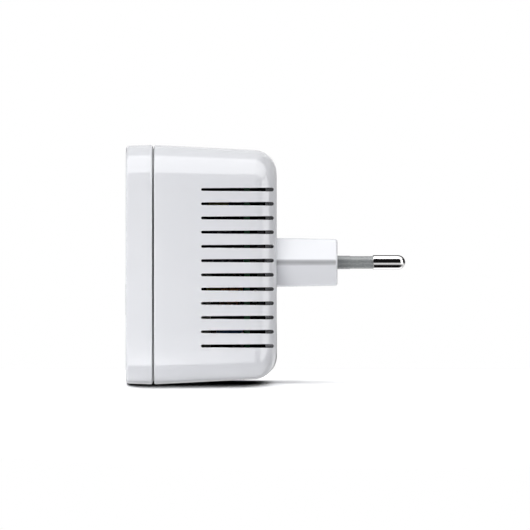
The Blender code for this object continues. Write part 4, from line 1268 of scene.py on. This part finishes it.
def inner_metals():
    """Metals inside the casing: two colours, a range of roughness, and the stretch of their marks."""
    return {
        "zinc_steel": ((0.6, 0.6, 0.58), (0.7, 0.69, 0.66), (0.24, 0.38), (1, 1, 8)),
        "copper_wire": ((0.6, 0.25, 0.08), (0.75, 0.36, 0.14), (0.2, 0.35), (1, 6, 1)),
        "black_aluminium": ((0.03, 0.03, 0.032), (0.06, 0.06, 0.062), (0.35, 0.5), (1, 9, 1)),
        "gold_plate": ((0.78, 0.52, 0.16), (0.88, 0.62, 0.22), (0.16, 0.28), (1, 8, 1)),
    }


def dress_cad_nodes(replaced):
    """Gives each CAD node that still shows the procedural material of its slot."""
    surfaces = {"board_laminate": board_green()}
    for name, values in inner_plastics().items():
        surfaces[name] = moulded(name, *values)
    for name, values in inner_metals().items():
        surfaces[name] = brushed(name, *values)
    for node, obj in frame["nodes"].items():
        if node not in replaced:
            obj.data.materials.clear()
            obj.data.materials.append(surfaces[SLOTS[node]])


# -------------------- pieces

SLOTS = {entry["node"]: entry["material_slot"] for entry in frame["record"]["subparts"]}


def body_of(node):
    for body, nodes in frame["record"]["behaviour"]["bodies"].items():
        if node in nodes:
            return body
    return "casing"


def build_pieces():
    """Makes the fine pieces, each in the place of its CAD node. Returns the nodes they stand in for."""
    white = white_gloss()
    seam = seam_shadow()
    # The plug's white has painted shade along its widest edges.
    plug_white = white_gloss("white_plug_plastic", PLUG_RIDGE_SHADE)
    # The insides of the casing and the plug's flange are coloured near black as painted shade, so the slots
    # look dark inside.
    dark = moulded("casing_inside_painted_shade", CHARCOAL, (0.03, 0.03, 0.032), (0.6, 0.8))
    metal = brushed("nickel_plate", (0.68, 0.67, 0.67), (0.74, 0.73, 0.73), (0.06, 0.11), (6, 1, 1), 500.0)
    grey = moulded("grey_sleeve", (0.25, 0.262, 0.266), (0.28, 0.293, 0.297), (0.2, 0.3), 1500.0, 0.15, 0.6)
    film = moulded("label_film", (0.62, 0.63, 0.65), (0.66, 0.67, 0.69), (0.3, 0.38))
    pieces = {
        "front_cover": front_cover(white, dark, seam),
        "rear_housing": rear_housing(white, dark, seam),
        "plug_insert": plug_insert(plug_white, dark),
        "pairing_button": pairing_button(white),
        "light_guide": light_guide(clear_lens()),
        "rating_label": rating_label(film),
    }
    for side, name in ((-1, "near"), (1, "far")):
        pieces[f"pin_{name}"] = pin(f"pin_{name}_turned", side, metal)
        pieces[f"pin_sleeve_{name}"] = sleeve(f"pin_sleeve_{name}_moulded", side, grey)
    for node, obj in pieces.items():
        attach(obj, body_of(node))
        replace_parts(obj, node)
    return set(pieces)


# -------------------- studio

# Levels of the room as light and in reflections. The ranges are of a ray's direction, along Y or Z.
ROOM_LIGHT = 0.2
ROOM_FRONT = 0.01
ROOM_BACK = 0.04
ROOM_TURN = (-0.05, 0.1)
TABLE_DARK = 0.0
TABLE_BELOW = 1.7
TABLE_TURN = (-0.15, 0.5)
TABLE_NEAR = 0.65
BELOW_TO_NEAR = (-0.7, -0.6)
TABLE_FAR = 1.0
NEAR_TO_FAR = (-0.55, -0.35)
TABLE_TO_ROOM = (-0.24, -0.05)

TABLE_COLOUR = (0.88, 0.88, 0.88)
TABLE_SHADE = (0.9, 0.9, 0.9)
TABLE_GAIN = 2.0
TABLE_HALF = 3.0
TABLE_CREST_Y = 0.1
TABLE_END_Y = 0.8
TABLE_SLOPE = math.tan(math.radians(7.0))
TABLE_RISE = math.tan(math.radians(1.6))
TABLE_FADE = (0.1, 0.2)
# The painted contact shadow on the table: how far it looks for the casing, and the open shares at which it
# is darkest and gone.
PAINTED_SHADOW_REACH = 0.018
PAINTED_SHADOW_DARK = 0.13
PAINTED_SHADOW_CLEAR = 0.6
LEVEL_VIEW = 0.06
BEHIND_VIEW = 0.3

LOW_CARD_CORNER = (-0.078, -0.085, -0.06)
LOW_CARD_SIZE = (0.06, 0.0548)
LOW_CARD_LEFT = 4.8
LOW_CARD_RIGHT = 2.2
LOW_CARD_FRONT = 0.2

CAMERA_DISTANCE = 6.0
CAMERA_X = -20.33 * MM
CAMERA_Z = -0.73 * MM
PICTURE_SIDE = 530
PIXELS_PER_METRE = 3575.0


class Sky(Tree):
    """The room's node tree. y and z are those of the direction that a ray looks in."""

    def __init__(self):
        self.world = bpy.data.worlds.new("room")
        super().__init__(self.world)
        _, self.y, self.z = self.split(self.add("ShaderNodeTexCoord").outputs["Generated"])


def reflected_room(sky):
    """Dark above the table's far edge, and the pale table below."""
    above = sky.smooth(sky.y, *ROOM_TURN, ROOM_FRONT, ROOM_BACK)
    below = sky.smooth(sky.y, *TABLE_TURN, TABLE_DARK, TABLE_BELOW)
    under = sky.smooth(sky.z, *BELOW_TO_NEAR, below, TABLE_NEAR)
    table_level = sky.smooth(sky.z, *NEAR_TO_FAR, under, TABLE_FAR)
    return sky.smooth(sky.z, *TABLE_TO_ROOM, table_level, above)


def room():
    """White to the camera, dim as light, and a dark studio in reflections."""
    sky = Sky()
    rays = sky.add("ShaderNodeLightPath").outputs
    unseen = sky.smooth(rays["Is Glossy Ray"], 0.0, 1.0, ROOM_LIGHT, reflected_room(sky))
    level = sky.smooth(rays["Is Camera Ray"], 0.0, 1.0, unseen, 1.0)
    background = sky.tree.nodes["Background"]
    background.inputs["Color"].default_value = (1.0, 1.0, 1.0, 1.0)
    sky.link(level, background.inputs["Strength"])
    sky.world.cycles.sampling_method = "NONE"
    bpy.context.scene.world = sky.world


def add_to_scene(obj, hidden_from=()):
    """Puts an object in the scene, hidden from some kinds of ray."""
    bpy.context.scene.collection.objects.link(obj)
    for kind in hidden_from:
        setattr(obj, "visible_" + kind, False)


def sheet(name, points, faces, graph, hidden_from):
    """A thin piece of studio equipment."""
    mesh = bpy.data.meshes.new(name)
    mesh.from_pydata(points, [], faces)
    mesh.materials.append(graph.material)
    obj = bpy.data.objects.new(name, mesh)
    add_to_scene(obj, hidden_from)


def card(name, corner, along, up, graph, hidden_from):
    """A rectangular sheet from one corner and its two sides."""
    points = [corner, corner + along, corner + along + up, corner + up]
    sheet(name, points, [(0, 1, 2, 3)], graph, hidden_from)


def clear_share(graph, seen):
    """1 where the table is clear: from below, and from behind at its level, where it hides the casing."""
    toward = graph.split(graph.geometry["Incoming"])
    is_level = graph.math("LESS_THAN", toward["Z"], LEVEL_VIEW)
    is_behind = graph.math("GREATER_THAN", toward["Y"], BEHIND_VIEW)
    crest = graph.math("MULTIPLY", graph.math("MULTIPLY", is_level, is_behind), seen)
    return graph.math("MAXIMUM", graph.geometry["Backfacing"], crest)


def table_top():
    """Pale and matt, with a painted contact shadow where the casing stands, and plain white further out."""
    graph = Graph("table_top")
    seen = graph.add("ShaderNodeLightPath").outputs["Is Camera Ray"]
    # Painted shadow: for camera rays the table's colour is scaled by how open its sky is, from black up to
    # TABLE_GAIN times.
    open_sky = graph.open_share(PAINTED_SHADOW_REACH, False, 8)
    depth = graph.smooth(open_sky, PAINTED_SHADOW_DARK, PAINTED_SHADOW_CLEAR, 0.0, 1.0)
    gain = graph.math("ADD", graph.math("MULTIPLY", depth, TABLE_GAIN), -1.0)
    gain = graph.math("ADD", graph.math("MULTIPLY", gain, seen), 1.0)
    tint = graph.mix(graph.noise(8.0, 2.0), TABLE_COLOUR, TABLE_SHADE)
    matt = graph.feed(graph.add("ShaderNodeBsdfDiffuse"), graph.scaled(tint, gain))
    reach = graph.feed(graph.add("ShaderNodeVectorMath", operation="LENGTH"), graph.place)
    fade = graph.ramp(reach.outputs["Value"], *TABLE_FADE, 0.0, 1.0)
    top = graph.blend(graph.math("MULTIPLY", fade, seen), matt.outputs[0], graph.glow(1.0))
    clear = graph.add("ShaderNodeBsdfTransparent").outputs[0]
    graph.show(graph.blend(clear_share(graph, seen), top, clear))
    return graph


def table():
    """A table top that falls a little towards the camera and rises behind."""
    z = HOUSING_LOW.z
    edge = -FLAT_Y
    top = z + (TABLE_CREST_Y - edge) * TABLE_RISE
    front = z - (TABLE_HALF + edge) * TABLE_SLOPE
    rows = [(-TABLE_HALF, front), (edge, z), (TABLE_CREST_Y, top), (TABLE_END_Y, top)]
    points = [(x, y, level) for y, level in rows for x in (-TABLE_HALF, TABLE_HALF)]
    faces = [(2 * i, 2 * i + 1, 2 * i + 3, 2 * i + 2) for i in range(len(rows) - 1)]
    sheet("table", points, faces, table_top(), ("glossy",))


def painted_shade_card():
    """A black card down the middle of the casing, painted shade that only the camera sees, so the white
    behind it doesn't show through the slots.
    """
    graph = Graph("painted_shade_card")
    graph.show(graph.glow(0.0))
    height = SLOT_COUNT * SLOT_PITCH
    corner = Vector((SLOT_FRONT_X, 0, SLOT_MID - height / 2))
    along = Vector((SLOT_BACK_X - SLOT_FRONT_X, 0, 0))
    hidden_from = ("glossy", "diffuse", "transmission", "volume_scatter", "shadow")
    card("painted_shade_card", corner, along, Vector((0, 0, height)), graph, hidden_from)


def low_card():
    """A glow in front of the casing and under the table's level, for the lower edge's reflection."""
    corner = Vector(LOW_CARD_CORNER)
    width, depth = LOW_CARD_SIZE
    graph = Graph("low_card")
    x, y, _ = graph.split(graph.place)
    along = graph.ramp(x, corner.x, corner.x + width, LOW_CARD_LEFT, LOW_CARD_RIGHT)
    nearer = graph.ramp(y, corner.y, corner.y + depth, LOW_CARD_FRONT, 1.0)
    graph.show(graph.glow(graph.math("MULTIPLY", along, nearer)))
    graph.material.cycles.emission_sampling = "NONE"
    hidden_from = ("camera", "diffuse", "transmission", "volume_scatter", "shadow")
    card("low_card", corner, Vector((width, 0, 0)), Vector((0, depth, 0)), graph, hidden_from)


def area_light(name, place, target, size, power, lit, hidden_from):
    light = bpy.data.lights.new(name, "AREA")
    light.shape = "RECTANGLE"
    light.size, light.size_y = size
    light.energy = power
    obj = bpy.data.objects.new(name, light)
    obj.location = place
    obj.rotation_euler = (Vector(target) - Vector(place)).to_track_quat("-Z", "Y").to_euler()
    obj.light_linking.receiver_collection = lit
    add_to_scene(obj, hidden_from)


def softbox(name, place, target, size, power, lit):
    """A soft light that shades some objects. Its picture in glossy surfaces is a card's."""
    area_light(name, place, target, size, power, lit, ("glossy", "camera"))


def reflection(name, place, target, size, level, shown_by):
    """A glowing card that only shows in the reflections of some pieces, at a level of brightness."""
    power = level * math.pi * size[0] * size[1]
    hidden_from = ("camera", "diffuse", "transmission", "volume_scatter")
    area_light(name, place, target, size, power, shown_by, hidden_from)


def gather(name, wanted):
    """A group of the objects that a light reaches."""
    group = bpy.data.collections.new(name)
    for obj in bpy.context.scene.objects:
        if wanted(obj):
            group.objects.link(obj)
    return group


def is_pin(obj):
    return obj.name in ("pin_near_turned", "pin_far_turned")


def is_outside(obj):
    """The pieces that light reaches, and the table. The parts behind the slots stay in the dark."""
    return obj.name == "table" or "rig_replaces" in obj or obj.name.startswith("jack_")


def softboxes():
    """The lights that shade matt surfaces: places and targets in metres, then width, height and watts."""
    lit = gather("outer_surfaces", is_outside)
    plug = gather("plug", lambda obj: obj.name == "plug_insert_shell")
    softbox("overhead", (-0.02, -0.1, 0.9), (-0.02, 0.0, 0.0), (1.2, 1.0), 7.0, lit)
    softbox("front", (-0.25, -0.5, 0.03), (-0.03, 0.0, -0.02), (0.3, 0.25), 0.75, lit)
    softbox("left", (-1.5, 0.0, 0.4), (0.0, 0.0, 0.0), (1.0, 0.9), 3.5, lit)
    softbox("low_left", (-0.16, -0.2, -0.05), (-0.05, -0.025, -0.03), (0.1, 0.06), 0.04, lit)
    softbox("low", (-0.085, -0.11, -0.028), (-0.05, -0.025, -0.02), (0.06, 0.01), 0.01, lit)
    softbox("plug_top", (0.0, -0.25, 0.5), (0.0, 0.0, 0.0), (0.3, 0.3), 0.35, plug)


def reflections():
    """The cards that glossy surfaces show: places and targets in metres, then width, height and level."""
    plastic = gather("plastic", lambda obj: obj.type == "MESH" and obj.name != "table" and not is_pin(obj))
    housing = gather("housing", lambda obj: obj.name == "rear_housing_shell")
    metal = gather("metal_pins", is_pin)
    reflection("overhead_card", (-0.02, -0.3, 1.0), (-0.02, -0.3, 0.0), (2.4, 1.0), 3.7, plastic)
    reflection("right_card", (0.95, -0.5, -0.5), (0.0, -0.5, -0.5), (0.78, 2.4), 4.0, plastic)
    reflection("back_card", (0.0, 0.7, 0.49), (0.0, -0.014, -0.21), (0.6, 1.43), 0.9, plastic)
    reflection("right_back_card", (0.8, 0.6, 0.3), (-0.2, -0.1, 0.3), (1.4, 1.4), 0.62, plastic)
    reflection("left_card", (-0.95, -0.5, 0.2), (0.0, -0.5, 0.2), (0.8, 1.0), 2.0, housing)
    reflection("pin_card", (0.0, -0.115, 1.0), (0.0, -0.115, 0.0), (2.4, 0.77), 4.8, metal)
    reflection("pin_side_card", (0.95, -0.5, 0.2), (0.0, -0.5, 0.2), (0.78, 1.0), 3.0, metal)


def camera():
    """Level with the middle of the casing, square to its side."""
    data = bpy.data.cameras.new("camera")
    focal_pixels = PIXELS_PER_METRE * (CAMERA_DISTANCE - HALF_WIDTH)
    data.lens = focal_pixels * data.sensor_width / PICTURE_SIDE
    data.clip_start = 0.01
    obj = bpy.data.objects.new("camera", data)
    obj.location = (CAMERA_X, -CAMERA_DISTANCE, CAMERA_Z)
    obj.rotation_euler = (math.pi / 2, 0, 0)
    add_to_scene(obj)
    scene = bpy.context.scene
    scene.camera = obj
    scene.view_settings.view_transform = "Standard"


dress_cad_nodes(build_pieces())
table()
painted_shade_card()
softboxes()
reflections()
low_card()
room()
camera()
